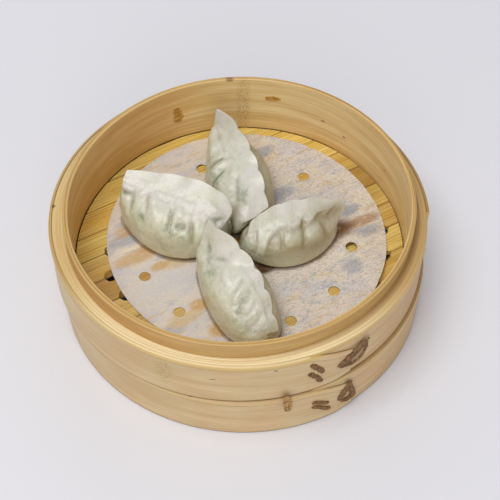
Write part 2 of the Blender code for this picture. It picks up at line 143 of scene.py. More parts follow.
class Look:
    """One material and the nodes that make its pattern. Inputs are sockets or plain values."""

    def __init__(self, name):
        self.material = bpy.data.materials.new(name)
        self.material.use_nodes = True
        self.tree = self.material.node_tree
        self.shader = self.tree.nodes["Principled BSDF"]
        self.place = self.scaled(self.node("TexCoord", (), "Object"), 1 / MM)
        self.x, self.y, self.height = self.axes(self.place)

    def feed(self, socket, value):
        """Links a socket to an input, or sets the input to a plain value."""
        if isinstance(value, bpy.types.NodeSocket):
            self.tree.links.new(value, socket)
        elif socket.type == "RGBA":
            socket.default_value = (*value, 1.0)
        else:
            socket.default_value = value

    def node(self, kind, inputs, output=0, **settings):
        """An output of a new node, whose inputs come in their order or by their names."""
        node = self.tree.nodes.new("ShaderNode" + kind)
        for name, value in settings.items():
            setattr(node, name, value)
        for key, value in inputs.items() if isinstance(inputs, dict) else enumerate(inputs):
            self.feed(node.inputs[key], value)
        return node.outputs[output]

    def set(self, **values):
        """Inputs of the shader, with _ for a space in their names."""
        for name, value in values.items():
            self.feed(self.shader.inputs[name.replace("_", " ")], value)

    def math(self, operation, *values):
        return self.node("Math", values, operation=operation)

    def times(self, first, second):
        return self.math("MULTIPLY", first, second)

    def vector(self, operation, *values):
        output = "Value" if operation in ("LENGTH", "DOT_PRODUCT") else "Vector"
        return self.node("VectorMath", values, output, operation=operation)

    def scaled(self, vector, factor):
        return self.node("VectorMath", {0: vector, "Scale": factor}, operation="SCALE")

    def turned(self, vector, degrees):
        """The vector along directions that are turned about Z."""
        inputs = {"Vector": vector, "Angle": -math.radians(degrees)}
        return self.node("VectorRotate", inputs, rotation_type="Z_AXIS")

    def attribute(self, name):
        """A number that the mesh holds for each of its points."""
        return self.node("Attribute", (), "Fac", attribute_name=name)

    def axes(self, vector):
        return self.node("SeparateXYZ", (vector,), slice(3))

    def noise(self, vector, detail=2.0, roughness=0.5):
        inputs = {"Vector": vector, "Scale": 1.0, "Detail": detail, "Roughness": roughness}
        return self.node("TexNoise", inputs, "Fac")

    def grain(self, per_mm, detail=2.0, roughness=0.5):
        """Even noise with about this many grains to a millimetre."""
        return self.noise(self.scaled(self.place, per_mm), detail, roughness)

    def drawn(self, along, length, across, width, depth, detail, roughness=0.5):
        """Noise drawn out to a length along one axis and a width along another."""
        first = self.math("DIVIDE", along, length)
        second = self.math("DIVIDE", across, width)
        return self.noise(self.node("CombineXYZ", (first, second, depth)), detail, roughness)

    def between(self, value, low, high):
        """0 below low, 1 above high and a smooth rise between them."""
        inputs = {"Value": value, "From Min": low, "From Max": high}
        return self.node("MapRange", inputs, "Result", interpolation_type="SMOOTHSTEP")

    def mix(self, share, first, second, blend="MIX"):
        return self.node("Mix", {0: share, 6: first, 7: second}, 2, data_type="RGBA", blend_type=blend)

    def tint(self, colour, share, factors):
        """The colour times the factors, as far as the share goes."""
        return self.mix(share, colour, factors, "MULTIPLY")

    def tone(self, colour, mask, tone, share=1.0):
        """The colour moved to a screen's tone, as far as the mask and the share go."""
        return self.mix(self.times(mask, share), colour, linear(*tone))

    def spot(self, centre, sizes, turn=0.0, core=0.35):
        """1 in the core of an ellipsoid and 0 outside it."""
        away = self.turned(self.vector("SUBTRACT", self.place, centre), turn)
        distance = self.vector("LENGTH", self.vector("DIVIDE", away, sizes))
        return self.between(distance, 1.0, core)

    def bump(self, height, depth):
        """Bump from a height of 0 to 1 that stands for a depth in millimetres."""
        self.set(Normal=self.node("Bump", {"Distance": depth * MM, "Height": height}, "Normal"))


class Bamboo(NamedTuple):
    """Colours of one kind of bamboo strip, as 0 to 255 numbers, and its sheen."""

    light: tuple
    middle: tuple
    dark: tuple
    roughness: float


WALL = Bamboo((240, 213, 158), (224, 189, 124), (178, 130, 68), 0.42)
HOOP = Bamboo((218, 194, 148), (203, 176, 127), (170, 132, 84), 0.5)
SLAT = Bamboo((246, 214, 136), (232, 190, 98), (150, 98, 38), 0.45)
SKIN = (210, 180, 114)
RIM = (204, 168, 102)
RIM_EDGE = (240, 208, 148)
HOOP_LINE = (176, 138, 80)
SEAM_TONE = (140, 100, 56)
SPECK = (112, 68, 34)
SPECK_PALE = (150, 104, 56)
NO_TINT = (1.0, 1.0, 1.0)
LEFT_WALL_SHADE_AND_BROWN_TINT = (0.92, 0.76, 0.54)  # painted shade on the left of the inner wall, partly a deeper brown of its bamboo
# painted light on the back of the inner wall
BACK_WALL_LIGHT_TINT = (1.1, 1.15, 1.17)
WALL_FOOT_SHADE_TINT = (0.42, 0.36, 0.3)  # painted shade along the line where the wall meets the floor
# the inner ring's outer face: partly painted shade between the ring and the hoops, partly browner bamboo
RING_OUTSIDE_SHADE_AND_BROWN_TINT = (0.72, 0.64, 0.50)
HOOP_RIGHT_TINT = (1.04, 0.93, 0.82)
# painted shade of the inner ring's rim on the hoops' tops at the right, partly darker reddish windings
HOOP_TOP_RIGHT_SHADE_AND_RED_TINT = (0.80, 0.72, 0.62)
# painted shade on the innermost windings next to the inner ring, partly their darker reddish tone
HOOP_INNER_SHADE_AND_RED_TINT = (0.74, 0.64, 0.56)
NODE_BAND_TINT = (0.93, 0.95, 0.84)
HOOP_PINK_TINT = (1.0, 0.94, 0.92)
BACK_RIGHT_SHADOW_TINT = (0.76, 0.74, 0.66)  # painted shadow of the wall on the slats' ends at the back right

BANDS = (60, 5.0)  # length and thickness of the broad bands along bamboo
FIBRE_DEPTH = 0.05
# Lines along bamboo: length, thickness, the noise where they start and are full, and strength.
FIBRES = ((30, 0.7, 0.35, 0.65, 0.30), (18, 0.28, 0.57, 0.72, 0.35))

# Places and reaches, in millimetres, of the painted light on the back of the wall, of the rough bands
# at the bamboo's nodes and of the painted shadow of the wall on the slats' ends at the back right.
BACK_WALL_LIGHT = ((-8.0, INNER_RADIUS, 46.0), (46.0, 16.0, 42.0))
WALL_NODE = ((0.6, INNER_RADIUS, 45.0), (5.0, 9.0, 30.0))
HOOP_NODE = ((-35.0, -83.0, 42.0), (7.0, 5.0, 13.0))
BACK_RIGHT_SHADOW = ((58.0, 40.0, FLOOR_TOP), (26.0, 26.0, 20.0))

# Small dark knots on the inner ring and on the hoops: the place and how far they reach.
WALL_KNOTS = (
    ((42.0, 69.5, 44.8), (1.8, 1.8, 1.0)),
    ((52.5, 61.5, 40.9), (1.8, 1.8, 1.0)),
    ((71.5, 36.8, 42.8), (1.8, 1.8, 1.0)),
    ((-6.4, 81.8, 63.2), (3.0, 2.6, 1.6)),
)
HOOP_KNOTS = (
    ((-23.4, -86.0, 27.0), (1.4, 5.0, 0.9)),
    ((15.0, -87.5, 49.9), (1.3, 4.0, 0.8)),
    ((-13.0, -88.5, 44.0), (2.0, 4.0, 0.5)),
    ((-90.5, 3.2, 54.2), (1.3, 1.6, 1.2)),
)


class TopTones(NamedTuple):
    """Colours of the top of a winding at the basket's sides and at its front."""

    side: tuple
    front: tuple


CORE_TOP = TopTones((222, 194, 136), (242, 223, 176))
STRIP_TOP = TopTones((192, 160, 100), (232, 208, 158))
LEDGE_TOP = TopTones((204, 174, 128), (196, 164, 116))


def fibre(look, length, thickness, detail=2.0):
    """Noise drawn out along a strip, whose meshes say how far across it each point lies."""
    across = look.math("DIVIDE", look.attribute("across"), thickness)
    return look.drawn(look.x, length, look.y, length, across, detail)


def bamboo_colour(look, tones, contrast=1.0, tint=NO_TINT):
    """Broad bands, fine fibres and dark hair lines along the strip."""
    light, middle, dark = (
        tuple(value * factor for value, factor in zip(linear(*tone), tint))
        for tone in (tones.light, tones.middle, tones.dark)
    )
    colour = look.mix(look.between(fibre(look, *BANDS), 0.3, 0.7), middle, light)
    for length, thickness, start, full, strength in FIBRES:
        lines = look.between(fibre(look, length, thickness, 3.0), start, full)
        colour = look.mix(look.times(lines, strength * contrast), colour, dark)
    return colour


def bamboo_finish(look, tones, colour):
    """Gives the colour a faint coat and fine raised fibres."""
    look.set(Base_Color=colour, Roughness=tones.roughness, Coat_Weight=0.12, Coat_Roughness=0.3)
    look.bump(fibre(look, 25, 0.4, 3.0), FIBRE_DEPTH)
    return look.material


def specks(look, mask, per_mm):
    """Small dark dots where the mask is 1."""
    return look.times(look.between(look.grain(per_mm, 1.0), 0.56, 0.66), mask)


def knots(look, colour, marks, share):
    """The colour with small dark knots at the marks."""
    for centre, sizes in marks:
        colour = look.tone(colour, look.spot(centre, sizes), SPECK, share)
    return colour


def ring_radius(look):
    """How far a place is from the inner ring's axis, as if the ring were truly round."""
    x, y, _ = look.axes(look.vector("SUBTRACT", look.place, (INNER.x, INNER.y, 0.0)))
    flat = look.node("CombineXYZ", (x, y))
    bend = look.times(look.times(x, y), 2.0 * INNER.skew)
    bend = look.math("DIVIDE", bend, look.vector("DOT_PRODUCT", flat, flat))
    return look.math("DIVIDE", look.vector("LENGTH", flat), look.math("ADD", bend, 1.0))


def rim_colour(look, radius):
    """Colour of the inner ring's rim: lines along it, and a paler inner edge."""
    rim = look.tone(linear(*RIM), look.between(fibre(look, 40, 0.5), 0.4, 0.65), WALL.dark, 0.5)
    edge = look.between(radius, INNER_RADIUS + 0.8, INNER_RADIUS + 0.4)
    return look.tone(rim, edge, RIM_EDGE, 0.5)


def wall_look():
    """The inner ring: golden inside, browner outside and one node band at its back, with painted shade on
    its left, foot and outer face and painted light at its back.
    """
    look = Look("inner_wall_bamboo")
    radius = ring_radius(look)
    foot = look.between(look.height, FLOOR_TOP + 0.7, FLOOR_TOP)
    outside = look.between(radius, INNER_OUTSIDE - 0.5, INNER_OUTSIDE - 0.2)
    top = look.between(look.height, RIM_HEIGHT - 0.9, RIM_HEIGHT - 0.3)
    band = look.spot(*WALL_NODE)
    colour = bamboo_colour(look, WALL)
    # painted shade on the left of the inner wall, partly a deeper brown of its bamboo
    colour = look.tint(colour, look.between(look.x, -5.0, -62.0), LEFT_WALL_SHADE_AND_BROWN_TINT)
    # painted light on the back of the inner wall
    colour = look.tint(colour, look.spot(*BACK_WALL_LIGHT), BACK_WALL_LIGHT_TINT)
    # painted shade where the wall meets the floor, fading out towards the right
    colour = look.tint(colour, look.times(foot, look.between(look.x, 62.0, 30.0)), WALL_FOOT_SHADE_TINT)
    # partly painted shade on the ring's outer face, partly browner bamboo
    colour = look.tint(colour, outside, RING_OUTSIDE_SHADE_AND_BROWN_TINT)
    colour = look.mix(top, colour, rim_colour(look, radius))
    colour = look.tone(colour, band, SPECK_PALE, 0.1)
    colour = look.tone(colour, specks(look, band, 1 / 0.6), SPECK_PALE, 0.7)
    return bamboo_finish(look, WALL, knots(look, colour, WALL_KNOTS, 0.7))


def hoop_lid(look, tones):
    """Colour of the tops of a hoop's windings, with painted shade near the inner ring and on the right,
    partly the innermost windings' darker reddish tone.
    """
    lid = look.tone(linear(*tones.side), look.between(look.y, -35.0, -75.0), tones.front)
    lid = look.tone(lid, look.between(fibre(look, 60, 0.45), 0.45, 0.7), HOOP_LINE, 0.4)
    # painted shade of the rim on the right, partly darker reddish windings
    lid = look.tint(lid, look.between(look.x, 25.0, 85.0), HOOP_TOP_RIGHT_SHADE_AND_RED_TINT)
    # painted shade next to the inner ring, partly the innermost windings' darker reddish tone
    inner = look.times(look.between(ring_radius(look), 87.2, 84.8), look.between(look.x, -60.0, 80.0))
    return look.tint(lid, inner, HOOP_INNER_SHADE_AND_RED_TINT)


def hoop_look(name, bottom, top, tones, skin_share=1.0):
    """A hoop: tan walls, a golden skin band, a top with its windings and a dark line at its foot."""
    look = Look(name)
    skin = look.between(look.height, top - SKIN_BAND - 0.5, top - SKIN_BAND + 0.5)
    skin_colour = look.tone(linear(*SKIN), look.between(fibre(look, 60, 2.0), 0.45, 0.75), WALL.middle)
    lid = look.between(look.height, top - 0.5, top - 0.15)
    foot = look.between(look.height, bottom + 1.0, bottom + 0.6)
    band = look.spot(*HOOP_NODE)
    colour = bamboo_colour(look, HOOP, 0.7)
    colour = look.tint(colour, look.between(look.grain(1 / 22, 1.0), 0.42, 0.6), HOOP_PINK_TINT)
    colour = look.tint(colour, look.between(look.x, 35.0, 85.0), HOOP_RIGHT_TINT)
    colour = look.mix(look.times(skin, skin_share), colour, skin_colour)
    colour = look.mix(lid, colour, hoop_lid(look, tones))
    colour = look.tone(colour, foot, SEAM_TONE, 0.85)
    colour = look.tint(colour, look.times(band, 0.6), NODE_BAND_TINT)
    colour = look.tone(colour, specks(look, band, 1 / 0.9), SPECK_PALE, 0.6)
    return bamboo_finish(look, HOOP, knots(look, colour, HOOP_KNOTS, 0.8))


def slat_look(number, tint):
    """One floor slat, with dark lines in its grooves and painted shadow of the wall at the back right."""
    look = Look(f"floor_bamboo_{number:02d}")
    colour = bamboo_colour(look, SLAT, 0.8, tint)
    colour = look.tone(colour, look.attribute("groove"), SLAT.dark, 0.6)
    # painted shadow of the wall on the slats at the back right
    colour = look.tint(colour, look.spot(*BACK_RIGHT_SHADOW), BACK_RIGHT_SHADOW_TINT)
    return bamboo_finish(look, SLAT, colour)


LACING_TONE = (146, 104, 54)
LACING_SPOTS = (176, 134, 80)
SEAM_TIE_TONE = (206, 156, 88)
SEAM_TIE_SPOTS = (104, 66, 30)
TIE_LIGHT = (208, 164, 86)
TIE_DARK = (178, 126, 38)
TIE_EDGE = (214, 174, 108)
TIE_MIDDLE = 2.9  # across a tie, from its edge


def lacing_look(name, tone, spots):
    """A rough brown stitch with streaks and spots of another tone."""
    look = Look(name)
    fine = look.between(look.grain(1.1, 3.0), 0.35, 0.7)
    colour = look.tone(linear(*tone), fine, [0.6 * value for value in tone])
    colour = look.tone(colour, look.between(look.grain(0.7), 0.56, 0.68), spots, 0.7)
    look.set(Base_Color=colour, Roughness=0.65)
    look.bump(fine, 0.3)
    return look.material


def tie_look():
    """The soft orange-brown ties on the inside of the wall, which fade at their edges."""
    look = Look("inside_tie_bamboo")
    colour = look.tone(linear(*TIE_LIGHT), look.between(look.grain(0.45), 0.3, 0.52), TIE_DARK)
    away = look.math("ABSOLUTE", look.math("SUBTRACT", look.attribute("across"), TIE_MIDDLE))
    colour = look.tone(colour, look.between(away, 1.0, TIE_MIDDLE), TIE_EDGE)
    look.set(Base_Color=colour, Roughness=0.5)
    return look.material


PAPER_GREY = (215, 210, 209)
PAPER_CREAM = (228, 217, 201)
PAPER_PLAIN = (214, 211, 210)
PAPER_BLUE = (186, 187, 194)
PAPER_GRAIN_TINT = (0.78, 0.76, 0.76)
# painted contact shadow on the paper round the dumplings' bases
DUMPLING_CONTACT_SHADOW = (112, 84, 50)
TAN_BAND = (214, 180, 130)
CREAM_LINE = (240, 226, 196)
BROWN_STREAK = (180, 142, 100)
# a brown stain with painted shadow of the third dumpling's end over it
BROWN_STAIN_AND_SHADOW = (130, 94, 54)
# painted shadow under the third dumpling
SHADOW_UNDER_DUMPLING_3 = (84, 58, 30)
STAIN = (212, 172, 112)
BROWN_STAIN = (132, 94, 56)
GREY_STAIN = (172, 174, 180)
WARM_STRIPE = (221, 194, 144)

# The quieter part of the paper at the left: its place and how far it reaches along the slats,
# across them and up.
PLAIN_PART = ((-38.0, -24.0, 29.0), (30.0, 15.0, 9.0))
# Tinges on the paper, two of them painted shadow under and beside the third dumpling: the place, how far
# they reach along the slats and across them, the tone and its strength.
STAIN_HEIGHT = 29.0
STAIN_REACH_UP = 3.0
STAINS = (
    (-51.0, -7.5, 17.0, 5.5, TAN_BAND, 0.9),
    (-53.0, -1.5, 12.0, 1.6, CREAM_LINE, 1.0),
    (-58.0, 3.0, 13.0, 5.0, GREY_STAIN, 0.75),
    (-30.0, -9.0, 14.0, 6.0, WARM_STRIPE, 0.7),
    (-57.0, 9.0, 9.0, 5.0, STAIN, 0.7),
    (-46.0, -1.0, 7.0, 3.5, STAIN, 0.9),
    (-40.0, -13.0, 7.0, 3.5, STAIN, 0.8),
    (-20.5, -37.0, 6.0, 5.0, STAIN, 0.9),
    (-33.0, -52.0, 11.0, 4.5, GREY_STAIN, 0.6),
    (-27.0, -45.0, 12.0, 5.0, WARM_STRIPE, 0.8),
    (-9.0, -50.0, 9.0, 6.0, STAIN, 0.9),
    (60.0, 15.0, 15.0, 4.5, BROWN_STREAK, 0.8),
    # brown stain with painted shadow of the third dumpling's end
    (49.5, 7.0, 12.0, 11.5, BROWN_STAIN_AND_SHADOW, 1.0),
    # painted shadow under the third dumpling
    (11.0, -13.6, 8.0, 6.0, SHADOW_UNDER_DUMPLING_3, 1.0),
    (61.0, 7.5, 13.0, 5.0, GREY_STAIN, 0.8),
    (54.0, 22.5, 9.0, 4.5, GREY_STAIN, 0.9),
    (54.5, -13.0, 8.0, 7.0, GREY_STAIN, 0.8),
    (10.0, 62.0, 10.0, 5.0, GREY_STAIN, 0.8),
    (21.0, 34.0, 10.0, 5.0, GREY_STAIN, 0.8),
    (27.0, 22.0, 10.0, 6.0, BROWN_STAIN, 0.5),
)


def streaks(look, length, width, detail=3.0):
    """Noise drawn out along the slats that lie under the paper."""
    along, across, _ = look.axes(look.turned(look.place, SLAT_TURN))
    return look.drawn(along, length, across, width, 0.0, detail, 0.6)


def stained(look, colour):
    """The colour with ragged tinges on it."""
    ragged = look.between(streaks(look, 5, 2, 4.0), 0.15, 0.5)
    for x, y, length, width, tone, strength in STAINS:
        centre = (x, y, STAIN_HEIGHT)
        spot = look.spot(centre, (length, width, STAIN_REACH_UP), SLAT_TURN, 0.45)
        colour = look.tone(colour, look.times(spot, ragged), tone, strength)
    return colour


def paper_look():
    """Damp baking paper that shows the slats beneath it as streaks, with painted contact shadow round the
    dumplings.
    """
    look = Look("liner_paper")
    plain = look.spot(*PLAIN_PART, SLAT_TURN)
    streaky = look.math("SUBTRACT", 1.0, plain)
    blue = look.times(look.between(streaks(look, 9, 4), 0.54, 0.64), streaky)
    warm = look.times(look.between(streaks(look, 18, 3), 0.55, 0.66), streaky)
    colour = look.tone(linear(*PAPER_GREY), look.between(streaks(look, 24, 13), 0.34, 0.56), PAPER_CREAM)
    colour = look.tone(colour, plain, PAPER_PLAIN, 0.5)
    colour = look.tone(colour, blue, PAPER_BLUE, 0.6)
    colour = look.tone(colour, warm, WARM_STRIPE, 0.6)
    colour = stained(look, colour)
    grain = streaks(look, 1.5, 0.9, 4.0)
    mottle = look.times(look.between(look.x, -20.0, 25.0), look.between(streaks(look, 5, 3), 0.35, 0.6))
    rough = look.times(look.between(grain, 0.42, 0.6), look.math("ADD", mottle, 0.35))
    colour = look.tint(colour, rough, PAPER_GRAIN_TINT)
    # painted contact shadow on the paper close to the dumplings
    colour = look.tone(colour, look.between(look.attribute("clear"), 1.0, 0.2), DUMPLING_CONTACT_SHADOW, 0.55)
    look.set(Base_Color=colour, Roughness=0.7)
    look.bump(grain, 0.12)
    return look.material


BELLY = (215, 214, 189)
CREST = (218, 214, 205)
DOUGH_PATCH = (205, 208, 181)
DOUGH_MOTTLE_TINT = (0.93, 0.95, 0.93)
GREEN_TINGE = (166, 176, 146)
# painted shade on the dough's lower part, partly its greener tone over the filling
LOW_DOUGH_TONE_AND_SHADE = (200, 193, 158)
# painted shade in the creases of the folds
CREASE_SHADE = (142, 134, 94)
# painted highlight on the ridges of the folds
RIDGE_HIGHLIGHT = (228, 226, 212)
FILLING = (144, 154, 130)
LEAF = (92, 98, 78)
DOUGH_SHADE = (144, 124, 80)


def dough_colour(look, mottle, fine):
    """Colour of the dough from its base to its crest, with what shows through its thin places, painted
    shade low down and in creases, and painted highlight on ridges.
    """
    up = look.attribute("up")
    fold = look.attribute("fold")
    belly = look.times(look.between(up, 0.26, 0.36), look.between(up, 0.72, 0.56))
    filling = look.times(look.attribute("filling"), look.between(mottle, 0.32, 0.6))
    colour = look.tone(linear(*BELLY), look.between(up, 0.46, 0.64), CREST)
    colour = look.tone(colour, look.between(look.grain(1 / 9), 0.42, 0.6), DOUGH_PATCH, 0.5)
    colour = look.tint(colour, look.between(mottle, 0.5, 0.68), DOUGH_MOTTLE_TINT)
    layers = (
        (look.times(look.between(mottle, 0.48, 0.7), belly), GREEN_TINGE, 0.3),
        # painted shade low down, partly the dough's greener tone
        (look.between(up, 0.44, 0.2), LOW_DOUGH_TONE_AND_SHADE, 0.8),
        # painted shade in creases
        (look.between(fold, -0.1, -1.4), CREASE_SHADE, 0.7),
        # painted highlight on ridges
        (look.between(fold, 0.2, 0.9), RIDGE_HIGHLIGHT, 0.35),
        (filling, FILLING, 0.85),
        (look.times(look.between(fine, 0.52, 0.68), filling), LEAF, 0.75),
        (look.attribute("shade"), DOUGH_SHADE, 0.75),
    )
    for mask, tone, share in layers:
        colour = look.tone(colour, mask, tone, share)
    return colour


def dough_look():
    """Steamed translucent dough over a green filling."""
    look = Look("dumpling_dough")
    mottle = look.grain(1 / 2.8, 4.0, 0.62)
    fine = look.grain(1 / 0.9, 3.0, 0.65)
    ribs = look.drawn(look.attribute("along"), 0.8, look.attribute("up"), 1 / 5, 0.0, 2.0)
    look.set(
        Base_Color=dough_colour(look, mottle, fine),
        Roughness=0.36,
        Subsurface_Weight=0.3,
        Subsurface_Radius=(1.0, 1.0, 0.7),
        Subsurface_Scale=2.0 * MM,
        Coat_Weight=0.4,
        Coat_Roughness=0.18,
    )
    look.bump(look.math("ADD", mottle, look.times(look.math("ADD", fine, ribs), 0.25)), 0.45)
    return look.material


def linked(name, data):
    """A new object in the scene."""
    thing = bpy.data.objects.new(name, data)
    bpy.context.scene.collection.objects.link(thing)
    return thing


def add_piece(name, points, faces, material, slot, **numbers):
    """A finished mesh that stands for the CAD node of the same name.

    The numbers are one value for each point, by the name that a material reads them by.
    """
    mesh = bpy.data.meshes.new(name + "_look")
    mesh.from_pydata(np.asarray(points) * MM, [], faces)
    work = bmesh.new()
    work.from_mesh(mesh)
    bmesh.ops.recalc_face_normals(work, faces=work.faces)
    work.to_mesh(mesh)
    work.free()
    mesh.shade_smooth()
    mesh.set_sharp_from_angle(angle=math.radians(SHARP_FROM))
    for label, values in numbers.items():
        mesh.attributes.new(label, "FLOAT", "POINT").data.foreach_set("value", np.ravel(values))
    mesh.materials.append(material)
    piece = linked(name + "_look", mesh)
    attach(piece, "root")
    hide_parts(name)


def grid_faces(rows, columns, rows_close=False, columns_close=False):
    """Quads over rows of points, which may come round again either way."""
    faces = []
    for row in range(rows if rows_close else rows - 1):
        here = row * columns
        there = (row + 1) % rows * columns
        for column in range(columns if columns_close else columns - 1):
            after = (column + 1) % columns
            faces.append((here + column, there + column, there + after, here + after))
    return faces


def slab_faces(faces, edges, size):
    """Faces of a solid between a sheet and its other side, whose points come size places later."""
    other = [tuple(size + corner for corner in face[::-1]) for face in faces]
    return faces + other + [(a, b, size + b, size + a) for a, b in edges]


def rotated(x, y, degrees):
    """X and Y turned about Z, for numbers or arrays of them."""
    turn = math.radians(degrees)
    return x * math.cos(turn) - y * math.sin(turn), x * math.sin(turn) + y * math.cos(turn)


def sweep(name, sections, closed, material, slot):
    """A solid through equal loops of points, shut at both ends unless it comes round again."""
    sections = np.asarray(sections)
    count, around = sections.shape[:2]
    faces = grid_faces(count, around, closed, True)
    if not closed:
        last = (count - 1) * around
        faces.append(tuple(range(around)))
        faces.append(tuple(range(last + around - 1, last - 1, -1)))
    steps = np.linalg.norm(np.diff(sections, axis=1), axis=-1)
    across = np.concatenate([np.zeros((count, 1)), np.cumsum(steps, axis=1)], axis=1)
    middle = np.broadcast_to(np.median(across, axis=0), across.shape)
    add_piece(name, sections.reshape(-1, 3), faces, material, slot, across=middle)


def flutes(height, pitch):
    """Faint hollows along a face, not quite even."""
    phase = height / pitch + FLUTE_UNEVENNESS * np.sin(height * FLUTE_PACE)
    return FLUTE_DEPTH * (np.abs(np.sin(math.pi * phase)) - 1)


WALL_LAYER = 1.35  # thickness of the inner one of the ring's two layers
WALL_FLUTE_PITCH = 2.3
OUTER_LAYER_DROP = 0.1  # of the outer layer's rim, below the inner one's
LAYERS_PART_AT = 20  # degrees, where the two layers stand farthest apart at the rim
LAYERS_PART_OVER = 45  # degrees to either side
LAYER_GROOVE = (0.08, 0.3)  # half width and depth of the groove where they lie close
LAYER_GROOVE_MORE = (0.12, 0.5)  # what is added to both where they stand farthest apart
RIM_WAVES = ((0.12, 2, 40), (0.06, 7, 0))  # height, number round the ring and degrees of shift


def ring_rim(degrees):
    """The rim's outline as (radius, height), with a groove between the ring's two layers."""
    apart = math.exp(-(((degrees - LAYERS_PART_AT + 180) % 360 - 180) / LAYERS_PART_OVER) ** 2)
    half, depth = (low + more * apart for low, more in zip(LAYER_GROOVE, LAYER_GROOVE_MORE))
    rise = sum(size * math.sin(math.radians(count * degrees + shift)) for size, count, shift in RIM_WAVES)
    split = INNER_RADIUS + WALL_LAYER
    outer_top = RIM_HEIGHT - OUTER_LAYER_DROP + rise
    inner_top = RIM_HEIGHT + rise
    return [
        (INNER_OUTSIDE - EDGE_ROUNDING, outer_top),
        (split + 3 * half, outer_top),
        (split + half, RIM_HEIGHT - depth),
        (split - half, RIM_HEIGHT - depth),
        (split - 3 * half, inner_top),
        (INNER_RADIUS + EDGE_ROUNDING, inner_top),
    ]


def make_inner_ring(material):
    """The tall ring, wound from two layers, whose rim stands above the hoops."""
    heights = np.linspace(STACKING_RECESS + EDGE_ROUNDING, RIM_HEIGHT - EDGE_ROUNDING, WALL_STEPS)
    outer = [(INNER_OUTSIDE + flutes(height, FLUTE_PITCH), height) for height in heights]
    inner = [(INNER_RADIUS - flutes(height, WALL_FLUTE_PITCH), height) for height in heights[::-1]]
    edges = (INNER_RADIUS + EDGE_ROUNDING, INNER_OUTSIDE - EDGE_ROUNDING)
    foot = [(radius, STACKING_RECESS) for radius in edges]
    sections = []
    for degrees in range(FULL_TURN):
        profile = np.array(foot + outer + ring_rim(degrees) + inner)
        sections.append(INNER.points(profile[:, 0], degrees, profile[:, 1]))
    sweep("inner_ring", sections, True, material, "inner_wall_bamboo")


SKIN_TURNS = np.linspace(-80, 78, 12)  # degrees round the skin band's curve
LID_SHARES = np.linspace(0.12, 1.0, 25)  # places over a hoop's top, from its face to the inner ring
LID_WINDINGS = np.abs(np.sin(math.pi * (3 * LID_SHARES + 0.1))) ** 0.5  # 1 on them, 0 between them
LID_WAVE = 0.08
LID_WAVES = 5  # round the hoop
LID_LIMIT = 0.1  # above the hoop's top
LID_INSIDE = 0.05  # from the inner ring to the lid's inner edge


def hoop_face(radius, bottom, top):
    """Outer face of a hoop layer from its bottom edge to its top edge, as (radius, height)."""
    heights = np.linspace(bottom + EDGE_ROUNDING, top - SKIN_BAND, HOOP_STEPS)
    wall = [(radius + flutes(height, FLUTE_PITCH), height) for height in heights]
    half = SKIN_BAND / 2
    turns = [math.radians(turn) for turn in SKIN_TURNS]
    outs = [radius - SKIN_BULGE + 2 * SKIN_BULGE * math.cos(turn) for turn in turns]
    return wall + [(out, top - half + half * math.sin(turn)) for out, turn in zip(outs, turns)]


def make_hoop_core(name, ring, bottom, top, material):
    """The inner windings of a hoop, which fit round the inner ring."""
    face = np.array(hoop_face(CORE_RADIUS, bottom, top))
    sections = []
    for degrees in range(FULL_TURN):
        outer = ring.points(face[:, 0], degrees, face[:, 1])
        inner_top = INNER.points(INNER_OUTSIDE + LID_INSIDE, degrees, top)
        wave = LID_WAVE * math.sin(math.radians(LID_WAVES * degrees))
        lid = outer[-1] + (inner_top - outer[-1]) * LID_SHARES[:, None]
        lid[:, 2] = np.minimum(top - WINDING_DEPTH * (1 - LID_WINDINGS) + wave, top + LID_LIMIT)
        foot = [
            INNER.points(INNER_OUTSIDE + GAP, degrees, bottom),
            ring.points(CORE_RADIUS - EDGE_ROUNDING, degrees, bottom),
        ]
        sections.append(np.concatenate([foot, outer, lid]))
    sweep(name, sections, True, material, "hoop_bamboo")


STRIP_END_THICKNESS = 0.3
STRIP_THINNING = 6  # degrees over which the strip thins to its end


def tongue_top(degrees, top, tip):
    """Top edge of the outer strip, which narrows to a tongue at its end."""
    share = (degrees - TONGUE_START) / (STRIP_END - TONGUE_START)
    return top + (tip - top) * max(0.0, share)


def make_hoop_strip(name, ring, bottom, top, tip, material):
    """The outermost winding of a hoop, open where its two ends don't meet."""
    inside = CORE_RADIUS + GAP
    sections = []
    for degrees in range(STRIP_START, STRIP_END + 1):
        edge = tongue_top(degrees, top, tip)
        end = max(0.0, 1 - (STRIP_END - degrees) / STRIP_THINNING)
        radius = HOOP_RADIUS - (STRIP_THICKNESS - STRIP_END_THICKNESS) * end
        face = np.array([(inside, bottom)] + hoop_face(radius, bottom, edge) + [(inside, edge)])
        sections.append(ring.points(face[:, 0], degrees, face[:, 1]))
    sweep(name, sections, False, material, "hoop_bamboo")


class Strand(NamedTuple):
    """A split-bamboo stitch: where it runs on a ring, as (degrees, height), and its section."""

    name: str
    path: tuple
    width: float
    height: float
    blunt: int = 6  # a lower number gives narrower ends


